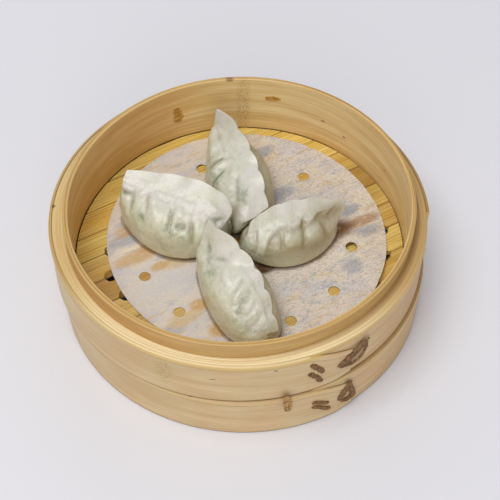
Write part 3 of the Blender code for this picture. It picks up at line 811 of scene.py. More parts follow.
UPPER_STRANDS = (
    Strand("upper_lacing_bar_1", ((-69.2, 48.4), (-67, 44), (-65, 39)), 2.7, 0.8),
    Strand("upper_lacing_bar_2", ((-69.5, 41.8), (-67.4, 37.4), (-65.4, 32)), 2.7, 0.8),
    Strand("upper_lacing_slant", ((-60.2, 37.9), (-55, 42.2), (-49.6, 48.6)), 3.8, 0.8, 2),
    Strand(
        "upper_lacing_arc",
        ((-50.4, 46.0), (-50.7, 41.2), (-52.3, 37.2), (-55.2, 35.6), (-59.4, 36.6)), 2.5, 0.7, 3,
    ),
)
LOWER_STRANDS = (
    Strand("lower_lacing_bar_1", ((-69.3, 17.6), (-67, 15.8), (-63.9, 12.4)), 2.4, 0.7),
    Strand("lower_lacing_bar_2", ((-69.3, 14.2), (-66.5, 11), (-63.2, 6.8)), 2.6, 0.8),
    Strand("lower_lacing_slant", ((-60.4, 10.2), (-58.4, 16), (-56.6, 22.4)), 4.2, 0.8, 2),
    Strand(
        "lower_lacing_arc",
        ((-56.8, 20.8), (-55.9, 14.5), (-55.2, 9.2), (-57.2, 7.4), (-59.6, 8.8)), 3.2, 0.7, 3,
    ),
)
SEAM_STRANDS = (Strand("seam_tie", ((-77.9, 31.5), (-77.4, 25), (-77.2, 18.5)), 3.8, 0.35),)
INSIDE_STRANDS = (
    Strand("inside_tie_left", ((114.9, 50.4), (114.0, 45), (114.2, 40.0)), 6.4, 0.22, 2),
    Strand("inside_tie_back", ((80.8, 50.6), (78, 51.2), (75.0, 51.6)), 3.4, 0.22, 2),
)
LACING_RADIUS = HOOP_RADIUS + 0.1
SEAM_TIE_RADIUS = LACING_RADIUS + 1.6
STRAND_STEPS = 32
STRAND_SIDES = 17
STRAND_TAPER = 0.5  # share of its size that a stitch loses at its ends
STRAND_SWELL = 0.3  # share of its size that it gains and loses along its length
STRAND_SWELL_PACE = 0.9
STRAND_WANDER = 0.12  # share of its width that it wanders sideways
STRAND_WANDER_PACE = 0.6
STRAND_WANDER_FROM = Vector((9.0, 0.0, 0.0))  # a part of the noise that the swelling doesn't use
STRAND_FIBRES = 4
STRAND_TWIST = 1.5  # radians that the fibres turn from its middle to its end
STRAND_GROOVE = 0.2  # depth of the grooves between its fibres, as a share of its height
STRAND_ROUNDNESS = 0.6  # a lower number gives a flatter top
STRAND_TOP_BLUNT = 6


def spline(guides, steps):
    """Smooth rows of points between guide rows, which they pass through."""
    last = len(guides) - 1
    rows = []
    for place in np.linspace(0, last, steps):
        index = min(int(place), last - 1)
        share = place - index
        before = guides[max(index - 1, 0)]
        low, high = guides[index], guides[index + 1]
        after = guides[min(index + 2, last)]
        bend = 2 * before - 5 * low + 4 * high - after
        twist = 3 * low - before - 3 * high + after
        rows.append(0.5 * (2 * low + (high - before) * share + bend * share**2 + twist * share**3))
    return np.array(rows)


def strand_section(strand, place, share):
    """How far the points round a stitch lie to its side and above the hoop, at one place on it."""
    turns = np.linspace(0, math.pi, STRAND_SIDES)
    narrow = 1 - STRAND_TAPER * abs(share) ** strand.blunt
    swell = 1 + STRAND_SWELL * noise.noise(Vector(place) * STRAND_SWELL_PACE)
    wander = STRAND_WANDER * noise.noise(Vector(place) * STRAND_WANDER_PACE + STRAND_WANDER_FROM)
    sideways = (wander - np.cos(turns) / 2 * (narrow * swell)) * strand.width
    groove = 1 - STRAND_GROOVE * np.abs(np.sin(STRAND_FIBRES * turns + STRAND_TWIST * share))
    low = 1 - STRAND_TAPER * abs(share) ** STRAND_TOP_BLUNT
    return sideways, np.sin(turns) ** STRAND_ROUNDNESS * groove * strand.height * low


def make_strand(strand, ring, radius, outward, material):
    """A low, rounded, fibrous stitch that narrows where its ends go into the hoop."""
    path = spline(np.array(strand.path, dtype=float), STRAND_STEPS)
    places = ring.points(radius, path[:, 0], path[:, 1])
    loops = []
    for index, place in enumerate(places):
        ahead = places[min(index + 1, STRAND_STEPS - 1)] - places[max(index - 1, 0)]
        away = np.array((place[0] - ring.x, place[1] - ring.y, 0.0))
        away *= outward / np.linalg.norm(away)
        side = np.cross(away, ahead / np.linalg.norm(ahead))
        share = 2 * index / (STRAND_STEPS - 1) - 1
        sideways, upward = strand_section(strand, place, share)
        loops.append(place + sideways[:, None] * side + upward[:, None] * away)
    sweep(strand.name, loops, False, material, "lacing")


def across_to_world(along, across):
    """From the slats' own directions to X and Y."""
    x, y = rotated(along, across, SLAT_TURN)
    return INNER.x + x, INNER.y + y


def slot_spans(across):
    """Where the steam slots on a joint begin and end along it: one at each end, one in the middle."""
    if abs(across) >= SLOT_REACH - SLOT_DEPTH:
        return []
    half = math.sqrt(SLOT_REACH**2 - across**2)
    joint = min(max(round((across - FIRST_JOINT) / SLAT_PITCH), 0), SLAT_JOINTS - 1)
    left, right = SLOT_SHIFTS[joint]
    first, last = left - half, right + half
    spans = [(first, first + END_SLOT_LENGTH), (last - END_SLOT_LENGTH, last)]
    if abs(across) < MIDDLE_SLOT_SPREAD:
        spans.insert(1, (-MIDDLE_SLOT_LENGTH / 2, MIDDLE_SLOT_LENGTH / 2))
    return spans


def slot_cut(joint, along):
    """How far the slots on a joint cut into the slat beside it, at places along it."""
    cut = np.zeros_like(along)
    for start, stop in slot_spans(joint):
        inside = np.minimum(along - start, stop - along)
        share = np.clip(1 - inside / SLOT_DEPTH, 0, 1)
        cut = np.maximum(cut, np.where(inside > 0, SLOT_DEPTH * np.sqrt(1 - share**2), 0))
    return cut


SLAT_END_ROUNDS = 4  # of working out where a slat meets the wall, each nearer than the last
SLAT_END_LEAST = 0.01  # keeps the square root real past the ends of the outer slats


def slat_end(across, side):
    """How far along the slats the wall is, at places across them, on the side -1 or +1."""
    along = side * np.ones_like(across)
    for _ in range(SLAT_END_ROUNDS):
        turn = np.arctan2(across, along) + math.radians(SLAT_TURN)
        radius = (INNER_RADIUS - SLAT_END_GAP) * (1 + INNER.skew * np.sin(2 * turn))
        along = side * np.sqrt(np.maximum(radius**2 - across**2, SLAT_END_LEAST))
    return along


GROOVE_SWAY = 0.35  # how far the grooves wander, as a share of their pitch
GROOVE_SWAY_PACE = 0.9
GROOVE_DRIFT = 0.12
GROOVE_DRIFT_PACE = 0.06
GROOVE_FAINTEST = 0.3  # depth of the faintest groove, as a share of the deepest one's
GROOVE_SHARPNESS = 1.6
GROOVE_SEED = 12.9898  # draws each groove's strength


def slat_grooves(along, across, shift):
    """How deep in a groove each place on a slat is, from 0 to 1, where no two grooves are alike."""
    phase = across / GROOVE_PITCH + GROOVE_SWAY * np.sin(across * GROOVE_SWAY_PACE + shift)
    phase += GROOVE_DRIFT * np.sin(along * GROOVE_DRIFT_PACE + across)
    strength = np.abs(np.sin(GROOVE_SEED * np.floor(phase + 0.5)))
    uneven = GROOVE_FAINTEST + (1 - GROOVE_FAINTEST) * strength
    return (1 - np.abs(np.sin(math.pi * phase))) ** GROOVE_SHARPNESS * uneven


def slat_surface(low, high, height, groove, slot_share):
    """Rows of points over a slat, cut back beside its slots, and how deep in a groove each one is."""
    shares = np.linspace(0, 1, SLAT_ROWS)[:, None]
    spread = np.linspace(0, 1, SLAT_COLUMNS)[None, :]
    straight = low + (high - low) * spread
    near = slat_end(straight, -1)
    along = near + (slat_end(straight, 1) - near) * shares
    low_cut = slot_share * slot_cut(low, along)
    high_cut = slot_share * slot_cut(high, along)
    across = low + low_cut + (high - low - low_cut - high_cut) * spread
    x, y = across_to_world(along, across)
    ridges = slat_grooves(along, across, low)
    edge = np.minimum(across - low - low_cut, high - high_cut - across)
    rim = np.clip(1 - edge / SLAT_BEVEL, 0, 1)
    z = height - (ridges * groove + SLAT_BEVEL * rim**2) * (groove > 0)
    return np.stack([x, y, z], axis=-1), across, np.maximum(ridges, SLAT_EDGE_DARKNESS * rim)


def rim_edges(rows, columns):
    """The edges round a grid of points, in order."""
    grid = np.arange(rows * columns).reshape(rows, columns)
    rim = np.concatenate([grid[0, :-1], grid[:-1, -1], grid[-1, :0:-1], grid[:0:-1, 0]])
    return zip(np.roll(rim, 1), rim)


def make_slat(number, low, high, groove, material):
    """A slat from low to high across the floor, with grooves along its top."""
    top, across, ridges = slat_surface(low, high, FLOOR_TOP, groove, 1.0)
    bottom, _, _ = slat_surface(low, high, FLOOR_TOP - SLAT_THICKNESS, 0.0, SLOT_TAPER)
    size = SLAT_ROWS * SLAT_COLUMNS
    sheet = grid_faces(SLAT_ROWS, SLAT_COLUMNS)
    faces = slab_faces(sheet, rim_edges(SLAT_ROWS, SLAT_COLUMNS), size)
    points = np.concatenate([top.reshape(-1, 3), bottom.reshape(-1, 3)])
    spread = np.concatenate([across.ravel(), across.ravel() + 1.0]) + SLAT_FIBRE_SHIFT * number
    lines = np.concatenate([ridges.ravel(), np.full(size, SLOT_DARKNESS)])
    name = f"floor_slat_{number:02d}"
    add_piece(name, points, faces, material, "floor_bamboo", across=spread, groove=lines)


# For each slat, from the front right to the back left: its tint, and how strong its grooves are.
SLAT_KINDS = (
    ((0.95, 0.92, 0.80), 0.6),
    ((0.92, 0.90, 0.78), 0.6),
    ((0.88, 0.87, 0.72), 0.7),
    ((1.00, 1.10, 1.00), 0.7),
    ((0.80, 0.77, 0.66), 0.9),
    ((0.94, 0.95, 0.84), 0.7),
    ((0.74, 0.66, 0.54), 0.9),
    ((0.92, 0.90, 0.76), 0.6),
    ((1.04, 1.13, 1.00), 0.5),
    ((1.06, 1.07, 0.88), 0.9),
    ((1.02, 1.08, 0.88), 1.0),
    ((1.06, 1.16, 1.06), 0.8),
)
BAR_TINT = (0.9, 0.9, 0.8)
FLOOR_REACH = INNER_RADIUS * (1 - INNER.skew) - GAP  # of the floor's parts, where the ring is narrowest
BAR_SIDES = 48
BAR_STEPS = 60
BAR_ROUNDNESS = 0.3  # from 0 for a box to 1 for an oval
BAR_WANDER = 0.2
BAR_WANDER_LENGTH = 17


def make_floor():
    """Flat slats side by side, with steam slots between them."""
    joints = [FIRST_JOINT + SLAT_PITCH * index for index in range(SLAT_JOINTS)]
    lows = [-FLOOR_REACH] + [joint + GAP / 2 for joint in joints]
    highs = [joint - GAP / 2 for joint in joints] + [FLOOR_REACH]
    for number, (low, high, kind) in enumerate(zip(lows, highs, SLAT_KINDS), start=1):
        tint, groove = kind
        make_slat(number, low, high, GROOVE_DEPTH * groove, slat_look(number, tint))


def rounded(values):
    """Sines or cosines round a bar's section, drawn out towards its corners."""
    return np.sign(values) * np.abs(values) ** BAR_ROUNDNESS


def make_bars(material):
    """Two rounded bars under the slats, from one side of the inner ring to the other."""
    middle_height = FLOOR_TOP - SLAT_THICKNESS - GAP - BAR_HEIGHT / 2
    half = math.sqrt(FLOOR_REACH**2 - (BAR_OFFSET + BAR_WIDTH / 2) ** 2)
    corner = np.radians(np.linspace(0, 360, BAR_SIDES, endpoint=False))
    wide = rounded(np.cos(corner)) * BAR_WIDTH / 2
    tall = rounded(np.sin(corner)) * BAR_HEIGHT / 2
    for number, middle in enumerate((-BAR_OFFSET, BAR_OFFSET), start=1):
        loops = []
        for place in np.linspace(-half, half, BAR_STEPS):
            wander = BAR_WANDER * math.sin(place / BAR_WANDER_LENGTH + number)
            x, y = across_to_world(middle + wide + wander, place)
            loops.append(np.stack([x, y, middle_height + tall], axis=-1))
        sweep(f"floor_bar_{number}", loops, False, material, "floor_bamboo")


PUNCH_MARGIN = 0.5  # between a hole and the even places of the sheet
MIDDLE_PUNCH_SHIFT = (-3.1, -0.1)  # from the middle of the ring of holes
MERGE_WITHIN = 1e-6
SHEET_MARGIN = 1.02  # shares of the sheet's and the holes' radii that decide what is paper
HOLE_MARGIN = 0.99
SHADING_HEIGHT = 9.0  # up to which a dumpling's surface counts for the painted contact shadow on the paper near it
PAPER_WAVE = 0.12
PAPER_RIPPLE = 0.08
RIPPLE_PACE = (1.1, 0.07)  # across the slats and along them
PAPER_LOWEST = -0.1
# Where the paper stands off the floor: X, Y, radius and height.
PAPER_RISES = (
    (54.0, 0.0, 13.0, 2.4),
    (-22.0, 56.0, 12.0, 0.6),
    (44.0, -30.0, 9.0, 0.3),
    (69.0, -19.0, 11.0, 2.6),
)


def punch_places():
    """Middles of the liner's steam holes: a ring of them, and one at its middle."""
    turns = PUNCH_START + 360 / PUNCH_COUNT * np.arange(PUNCH_COUNT)
    places = PUNCH.points(PUNCH_RING_RADIUS, turns, 0.0)[:, :2].tolist()
    return places + [(PUNCH.x + MIDDLE_PUNCH_SHIFT[0], PUNCH.y + MIDDLE_PUNCH_SHIFT[1])]


def paper_height(points):
    """Gentle waves along the slats, and a few places where the damp paper has lifted."""
    along, across = rotated(*points.T, -SLAT_TURN)
    height = PAPER_WAVE * np.sin(across * 2 * math.pi / SLAT_PITCH)
    height += PAPER_RIPPLE * np.sin(across * RIPPLE_PACE[0] + along * RIPPLE_PACE[1])
    for x, y, radius, rise in PAPER_RISES:
        distance = np.hypot(points[:, 0] - x, points[:, 1] - y)
        height += rise * np.exp(-((distance / radius) ** 2))
    return np.maximum(height, PAPER_LOWEST)


def outline(ring, radius, sides):
    """Even places round a ring, as rows of X and Y."""
    return ring.points(radius, np.arange(sides) * 360 / sides, 0.0)[:, :2]


def liner_grid():
    """Even places inside the sheet and clear of its holes."""
    rows = np.arange(-LINER_RADIUS, LINER_RADIUS, LINER_CELL)
    x, y = np.meshgrid(rows, rows)
    x = x + (np.arange(len(rows)) % 2)[:, None] * LINER_CELL / 2
    inside = np.hypot(x, y) < LINER_RADIUS - LINER_CELL
    grid = np.stack([x[inside] + LINER.x, y[inside] + LINER.y], axis=-1)
    for hole_x, hole_y in punch_places():
        grid = grid[np.hypot(grid[:, 0] - hole_x, grid[:, 1] - hole_y) > PUNCH_RADIUS + PUNCH_MARGIN]
    return grid


def liner_sheet():
    """The flat sheet's points and triangles, and the edges round it and its holes."""
    outlines = [outline(LINER, LINER_RADIUS, LINER_SIDES)]
    outlines += [outline(Round(x, y, 0.0, 0.0), PUNCH_RADIUS, PUNCH_SIDES) for x, y in punch_places()]
    edges = []
    first = 0
    for places in outlines:
        count = len(places)
        edges += [(first + index, first + (index + 1) % count) for index in range(count)]
        first += count
    flat = np.concatenate(outlines + [liner_grid()])
    found = geometry.delaunay_2d_cdt([Vector(place) for place in flat], edges, [], 0, MERGE_WITHIN)
    points = np.array([tuple(place) for place in found[0]])
    faces = [tuple(face) for face in found[2] if on_paper(points[list(face)].mean(axis=0))]
    return points, faces, edges


def make_liner(material):
    """A thin round sheet of damp paper with punched holes."""
    points, faces, edges = liner_sheet()
    height = LINER_BOTTOM + paper_height(points)
    bottom = np.column_stack([points, height])
    top = np.column_stack([points, height + LINER_THICKNESS])
    solid = slab_faces(faces, edges, len(points))
    clear = np.tile(clear_of_food(points), 2)
    add_piece("paper_liner", np.concatenate([bottom, top]), solid, material, "liner_paper", clear=clear)


def clear_of_food(points):
    """How far each place on the paper is from the dumplings above it, seen from over it."""
    low = []
    for shape in DUMPLINGS:
        grid = press(shape.name, dumpling_grid(shape)).reshape(-1, 3)
        low.append(grid[grid[:, 2] < FOOD_BOTTOM + SHADING_HEIGHT])
    low = np.concatenate(low)
    tree = kdtree.KDTree(len(low))
    for index, (x, y, _) in enumerate(low):
        tree.insert((x, y, 0.0), index)
    tree.balance()
    return np.array([tree.find((x, y, 0.0))[2] for x, y in points])


def on_paper(place):
    """Whether a point lies on the sheet and not in one of its holes."""
    away = np.hypot(place[0] - LINER.x, place[1] - LINER.y)
    holes = min(math.hypot(place[0] - x, place[1] - y) for x, y in punch_places())
    return away < LINER_RADIUS * SHEET_MARGIN and holes > PUNCH_RADIUS * HOLE_MARGIN


class Dumpling(NamedTuple):
    """One dumpling. Pairs and triples give the value at its start, (middle) and end."""

    name: str
    place: tuple  # middle of its base, X and Y
    heading: float  # degrees from +X to its length
    length: float
    pleated_half: float  # width from the root of the crest to the pleated side
    smooth_half: float
    height: float  # of the crest's root
    arch: tuple  # height of the root at the ends, as shares of height
    lift: tuple  # how far the ends are clear of the paper
    plump: tuple  # a higher number gives a blunter end
    crest: tuple  # width of the sealed crest
    lean: tuple  # degrees that the crest leans to the smooth side
    reach: tuple  # how far the crest runs past the belly's ends
    root_offset: tuple  # of the crest's root to the smooth side
    bend: float
    pleats: float
    pleat_shift: float
    pleat_depth: float
    wave: float  # sideways, along the crest's edge


DUMPLINGS = (
    Dumpling(
        "dumpling_1", (-33.0, 9.2), -30, 57, 16.6, 14.8, 21, (0.98, 0.79), (1.8, 3.0), (2.2, 2.2),
        (6.6, 11.0, 10.8), (60, 63, 43), (3.7, 3.0), (-2.8, 4.0, 3.0), 1.7, 3.6, 0.1, 1.2, 0.3,
    ),
    Dumpling(
        "dumpling_2", (-1.3, 33.6), -81.5, 63, 15.9, 15.4, 21, (0.97, 0.72), (2.4, 2.9), (1.8, 2.5),
        (11.5, 8.0, 11.0), (6, 70, 52), (1.1, 6.0), (-6.6, 0.3, 1.0), -1.0, 4.6, 0.65, 1.1, 0.75,
    ),
    Dumpling(
        "dumpling_3", (23.0, 0.4), 19, 48.8, 13.8, 14.5, 19, (0.77, 0.58), (4.0, 3.6), (1.9, 1.9),
        (7.0, 8.8, 7.5), (38, 49, 42), (-3.4, 9.5), (-0.6, -0.1, -1.3), 1.1, 4.4, 0.4, 2.2, 0.4,
    ),
    Dumpling(
        "dumpling_4", (-1.3, -36.2), -65.5, 58.5, 14.6, 13.8, 20.3, (0.93, 0.5), (2.0, 1.2), (1.75, 2.3),
        (10.7, 9.6, 5.5), (9, 79, 96), (8.5, 1.5), (-5.1, -0.9, 2.0), -1.1, 5.0, 0.2, 1.4, 0.9,
    ),
)

# Where two dumplings press on each other: the two, a point between them, and the way from the
# first to the second as degrees from +X and degrees up. Both are flattened there.
CONTACTS = (
    ("dumpling_1", "dumpling_2", (-7.7, 9.6, 38.0), 27, 0),
    ("dumpling_1", "dumpling_4", (-17.5, -10.6, 38.0), -46, 0),
    ("dumpling_2", "dumpling_3", (7.0, 8.0, 38.0), -50, -25),
)
PRESS_SOFTNESS = 0.6  # rounding at the rim of a flattened patch


class Guide(NamedTuple):
    """A line along one side of a dumpling, as shares of the dumpling's own measures."""

    width: float  # of the half width
    root: float  # how far it follows the root's offset
    rise: float  # of the root's height
    crest: float  # of the crest's width
    dough: float  # of the dough's half thickness
    length: float
    reach: float
    pleat: float
    wave: float


# From the middle of a dumpling's base, over one side, to the tip of its crest.
GUIDES = (
    Guide(0.0, 0.0, 0.0, 0.0, 0.0, 0.86, 0.0, 0.0, 0.0),  # middle of the base
    Guide(0.91, 0.0, 0.0, 0.0, 0.62, 0.93, 0.0, 0.0, 0.0),  # edge of the base
    Guide(1.0, 0.1, 0.27, 0.0, 1.0, 1.0, 0.0, 0.35, 0.0),  # widest
    Guide(0.8, 0.55, 0.78, 0.0, 1.0, 0.985, 0.1, 1.0, 0.0),  # shoulder
    Guide(0.0, 1.0, 1.0, 0.06, 1.35, 0.95, 0.4, 0.55, 0.1),  # root of the crest
    Guide(0.0, 1.0, 1.0, 0.55, 1.0, 0.925, 0.75, 0.2, 0.6),  # middle of the crest
    Guide(0.0, 1.0, 1.0, 1.0, 0.75, 0.9, 1.0, 0.0, 1.0),  # tip of the crest
)
STATIONS = 161
SIDE_POINTS = 81
STATION_PLACES = -np.cos(np.linspace(0, math.pi, STATIONS))  # -1 to 1 along a dumpling
SIDE_PLACES = np.linspace(0, 1, SIDE_POINTS)  # 0 to 1 up its side
DOUGH_HALF = 0.9
ARCH_POWER = 2.2  # a higher number keeps the crest's root high for longer
END_POWER = 3  # how late the ends' lift and reach begin
BEND_MIDDLE = 0.3  # share of the bend that the middle of a dumpling goes the other way
PLEAT_SLANT = 0.35  # pleats lean along the dumpling as they rise
PLEAT_SHARPNESS = 1.5
PLEAT_FADE = 0.25  # of the even pleats, among the uneven folds below
PLEAT_DROP = 0.3  # how far a pleat's crease sinks for each millimetre inwards
CREST_SCALLOP = 0.8  # how much the crest's height follows its sideways wave
LUMP_SIZE = 5.5  # of the filling that shows through the dough
LUMP_HEIGHT = 0.4
SMALL_LUMPS = (2.4, 0.6)  # how much smaller the finer lumps are, and their share of the height
LUMPS_BEGIN = (0.2, 0.1)  # place up the side, and over how much of it they grow
LUMPS_END = (0.75, 0.15)
TRACE_STEPS = 24
TRACE_SCALE = np.array((28.0, 42.0))  # millimetres for a step of 1 along a dumpling and up its side
TRACE_EDGE = 1.6  # a higher number gives a trace harder edges
TRACE_ENDS = (0.25, 0.6)  # start and power of the sine that makes a trace fade at its ends
STEP_SHARPNESS = 0.6
CREST_FROM = (0.66, 0.1)  # place up the side, and over how much of it the dough grows thin
SMOOTH_SHADE = 0.8  # of the side away from the viewer, which the crest shades


class Trace(NamedTuple):
    """A line on a dumpling's pleated side, and what the dough does along it."""

    path: tuple  # places as (-1 to 1 along the dumpling, 0 to 1 up its side)
    width: float
    height: float = 0.0  # of a ridge, or below 0 of a crease
    step: float = 0.0  # how far the dough on the line's left is above that on its right
    filling: float = 0.0  # how much of the green filling shows
    shade: float = 0.0  # how brown the thin or shaded dough is


TRACES = {
    "dumpling_1": (
        Trace(((-0.49, 0.62), (-0.42, 0.57), (-0.36, 0.53)), 1.0, -0.4, shade=0.8),
        Trace(((0.03, 0.59), (0.10, 0.55), (0.15, 0.49)), 1.2, -1.3, filling=0.5),
        Trace(((0.22, 0.53), (0.32, 0.53), (0.42, 0.53)), 1.9, -1.4, filling=1.0),
        Trace(((0.45, 0.57), (0.54, 0.51), (0.60, 0.42)), 1.4, -1.3, shade=0.3),
        Trace(((-0.98, 0.56), (-0.90, 0.57), (-0.78, 0.59)), 1.0, -1.4, filling=0.9),
        Trace(((-0.40, 0.62), (-0.25, 0.56), (-0.12, 0.52)), 2.2, 1.0),
        Trace(((0.10, 0.61), (0.22, 0.58), (0.30, 0.57)), 1.6, 0.8),
        Trace(((-0.74, 0.60), (-0.70, 0.54), (-0.66, 0.47)), 1.6, -1.0, filling=0.2),
        Trace(((-0.48, 0.50), (-0.40, 0.49), (-0.32, 0.47)), 2.4, -0.5, filling=1.0),
        Trace(((0.74, 0.58), (0.81, 0.62), (0.88, 0.68)), 2.2, -0.5, filling=0.9, shade=0.3),
        Trace(((0.06, 0.50), (0.25, 0.47), (0.50, 0.47)), 2.4, filling=0.7),
        Trace(((-0.10, 0.40), (0.20, 0.38), (0.60, 0.40)), 4.0, shade=0.4),
        Trace(((-0.95, 0.64), (-0.50, 0.64), (-0.05, 0.63), (0.40, 0.64)), 2.0, step=0.5),
    ),
    "dumpling_2": (
        Trace(((-0.62, 0.55), (-0.52, 0.54), (-0.43, 0.51)), 1.7, 1.2),
        Trace(((-0.18, 0.47), (-0.22, 0.53), (-0.24, 0.58)), 1.1, -1.4, filling=1.0),
        Trace(((-0.01, 0.57), (0.08, 0.51), (0.17, 0.44)), 1.2, -1.4, filling=0.9),
        Trace(((-0.02, 0.48), (0.14, 0.50), (0.26, 0.49)), 3.0, filling=0.9),
        Trace(((-0.42, 0.50), (-0.32, 0.47), (-0.24, 0.44)), 2.4, filling=0.8),
        Trace(((-0.16, 0.60), (-0.08, 0.54), (-0.05, 0.48)), 1.5, 1.0),
        Trace(((0.22, 0.62), (0.47, 0.60), (0.70, 0.59)), 1.3, -1.0, filling=0.4),
        Trace(((-0.06, 0.63), (0.10, 0.61), (0.20, 0.59)), 1.8, 0.8),
        Trace(((0.50, 0.64), (0.62, 0.64), (0.72, 0.63)), 2.2, -0.4, filling=0.9),
        Trace(((0.70, 0.60), (0.80, 0.55), (0.86, 0.46)), 2.8, shade=0.7),
        Trace(((-0.74, 0.62), (-0.69, 0.60), (-0.62, 0.59)), 1.3, -0.3, shade=0.4),
        Trace(((-0.90, 0.64), (-0.55, 0.61), (-0.20, 0.62)), 1.6, step=0.8),
    ),
    "dumpling_3": (
        Trace(((-0.73, 0.66), (-0.78, 0.54), (-0.84, 0.38)), 2.3, step=1.2, shade=0.5),
        Trace(((-0.70, 0.38), (-0.60, 0.53), (-0.42, 0.59), (-0.16, 0.62)), 3.4, step=1.7, shade=0.6),
        Trace(((-0.24, 0.58), (-0.29, 0.54), (-0.34, 0.48)), 1.1, -0.6, shade=0.5),
        Trace(((0.24, 0.63), (0.18, 0.55), (0.13, 0.48)), 1.4, -1.0, filling=0.4, shade=0.5),
        Trace(((0.60, 0.60), (0.64, 0.55), (0.65, 0.47)), 1.7, -0.9, filling=0.4, shade=0.6),
        Trace(((-0.16, 0.62), (0.02, 0.60), (0.18, 0.61), (0.26, 0.65)), 2.6, step=1.4, shade=0.6),
        Trace(((0.24, 0.65), (0.36, 0.61), (0.54, 0.65), (0.64, 0.70)), 2.6, step=1.5, shade=0.6),
        Trace(((0.63, 0.69), (0.75, 0.67), (0.83, 0.79)), 2.0, step=1.2, shade=0.6),
        Trace(((-0.10, 0.58), (-0.12, 0.51), (-0.16, 0.45)), 2.2, 0.5),
        Trace(((0.38, 0.57), (0.35, 0.52), (0.33, 0.45)), 2.4, 0.5),
        Trace(((-0.60, 0.40), (-0.20, 0.46), (0.20, 0.44), (0.60, 0.44), (0.90, 0.50)), 6.5, shade=0.95),
        Trace(((0.56, 0.64), (0.74, 0.68), (0.88, 0.76), (0.97, 0.84)), 4.0, shade=1.0),
    ),
    "dumpling_4": (
        Trace(((-0.24, 0.63), (-0.12, 0.60), (0.06, 0.59)), 1.9, 1.0),
        Trace(((0.18, 0.66), (0.27, 0.61), (0.36, 0.56)), 1.4, 1.1),
        Trace(((0.46, 0.66), (0.53, 0.62), (0.59, 0.58)), 1.5, 1.0),
        Trace(((0.64, 0.63), (0.69, 0.62), (0.74, 0.60)), 1.6, 0.5),
        Trace(((0.05, 0.67), (0.12, 0.64), (0.19, 0.59)), 0.9, -0.8, filling=0.3),
        Trace(((0.29, 0.70), (0.36, 0.65), (0.43, 0.59)), 1.0, -0.9, filling=0.3),
        Trace(((0.36, 0.61), (0.46, 0.57), (0.55, 0.53)), 1.7, -0.6, filling=0.6),
        Trace(((-0.56, 0.62), (-0.47, 0.65), (-0.40, 0.68)), 1.5, -0.8, filling=0.3),
        Trace(((-0.84, 0.70), (-0.65, 0.60), (-0.42, 0.53)), 1.8, -0.5, filling=0.4),
        Trace(((-0.42, 0.56), (-0.35, 0.55), (-0.26, 0.56)), 2.6, filling=0.8),
        Trace(((-0.82, 0.67), (-0.77, 0.65), (-0.72, 0.63)), 1.0, -0.2, filling=0.9),
        Trace(((0.50, 0.56), (0.66, 0.54), (0.78, 0.54)), 2.8, filling=0.4),
        Trace(((0.70, 0.70), (0.78, 0.62), (0.84, 0.52)), 1.4, -0.5, filling=0.2),
        Trace(((0.94, 0.50), (0.96, 0.65), (0.98, 0.80)), 1.6, shade=0.4),
    ),
}


def through(start, middle, end, where):
    """A curve through three values at -1, 0 and 1."""
    return middle + (end - start) / 2 * where + ((start + end) / 2 - middle) * where**2


def pleats(shape, guide, where):
    """Along a guide line: how deep in a crease each place is, and the crest's sway and rise."""
    phase = math.pi * (shape.pleats * where / 2 + shape.pleat_shift + PLEAT_SLANT * guide.rise)
    crease = (1 - np.abs(np.sin(phase))) ** PLEAT_SHARPNESS
    wave = shape.wave * guide.wave
    lobes = 2 * np.abs(np.cos(phase)) - 1
    return crease, wave * np.sin(2 * phase), CREST_SCALLOP * wave * lobes


def dumpling_side(shape, where, sign):
    """Rows from the middle of the base to the crest's tip, on the pleated (-1) or smooth (1) side."""
    start = where < 0
    plump = np.where(start, *shape.plump)
    full = np.maximum(1 - np.abs(where) ** plump, 0) ** (1 / plump)
    half = full * (shape.pleated_half if sign < 0 else shape.smooth_half)
    arch = np.where(start, *shape.arch)
    root = shape.height * (arch + (1 - arch) * (1 - np.abs(where) ** ARCH_POWER))
    base = np.where(start, *shape.lift) * np.abs(where) ** END_POWER
    offset = through(*shape.root_offset, where)
    crest = through(*shape.crest, where)
    lean = np.radians(through(*shape.lean, where))
    reach = np.where(start, -shape.reach[0], shape.reach[1]) * np.abs(where) ** END_POWER
    lines = []
    for guide in GUIDES:
        crease, sway, scallop = pleats(shape, guide, where)
        sink = PLEAT_FADE * shape.pleat_depth * guide.pleat * crease * full if sign < 0 else 0.0
        out = guide.crest * crest + scallop
        dough = sign * DOUGH_HALF * guide.dough
        leaning = lean if guide.crest > 0 else 0.0
        x = guide.length * where * shape.length / 2 + guide.reach * reach
        y = offset * (guide.root + (1 - guide.root) * where**2) + sign * (guide.width * half - sink)
        y = y + out * np.sin(lean) + dough * np.cos(leaning) + sway * np.cos(lean)
        z = base + guide.rise * (root - base) + out * np.cos(lean) - PLEAT_DROP * np.abs(sink)
        z = z - dough * np.sin(leaning) - sway * np.sin(lean)
        lines.append(np.stack([x, y, z], axis=-1))
    return spline(np.array(lines), SIDE_POINTS)


def press(name, points):
    """The dumpling's points, flattened where it leans on its neighbours."""
    for first, second, place, degrees, tilt in CONTACTS:
        if name not in (first, second):
            continue
        turn, rise = math.radians(degrees), math.radians(tilt)
        flat = math.cos(rise)
        away = np.array((math.cos(turn) * flat, math.sin(turn) * flat, math.sin(rise)))
        if name == second:
            away = -away
        depth = (points - np.array(place)) @ away + GAP / 2
        over = PRESS_SOFTNESS * np.logaddexp(0.0, depth / PRESS_SOFTNESS)
        points = points - over[..., None] * away
    return points


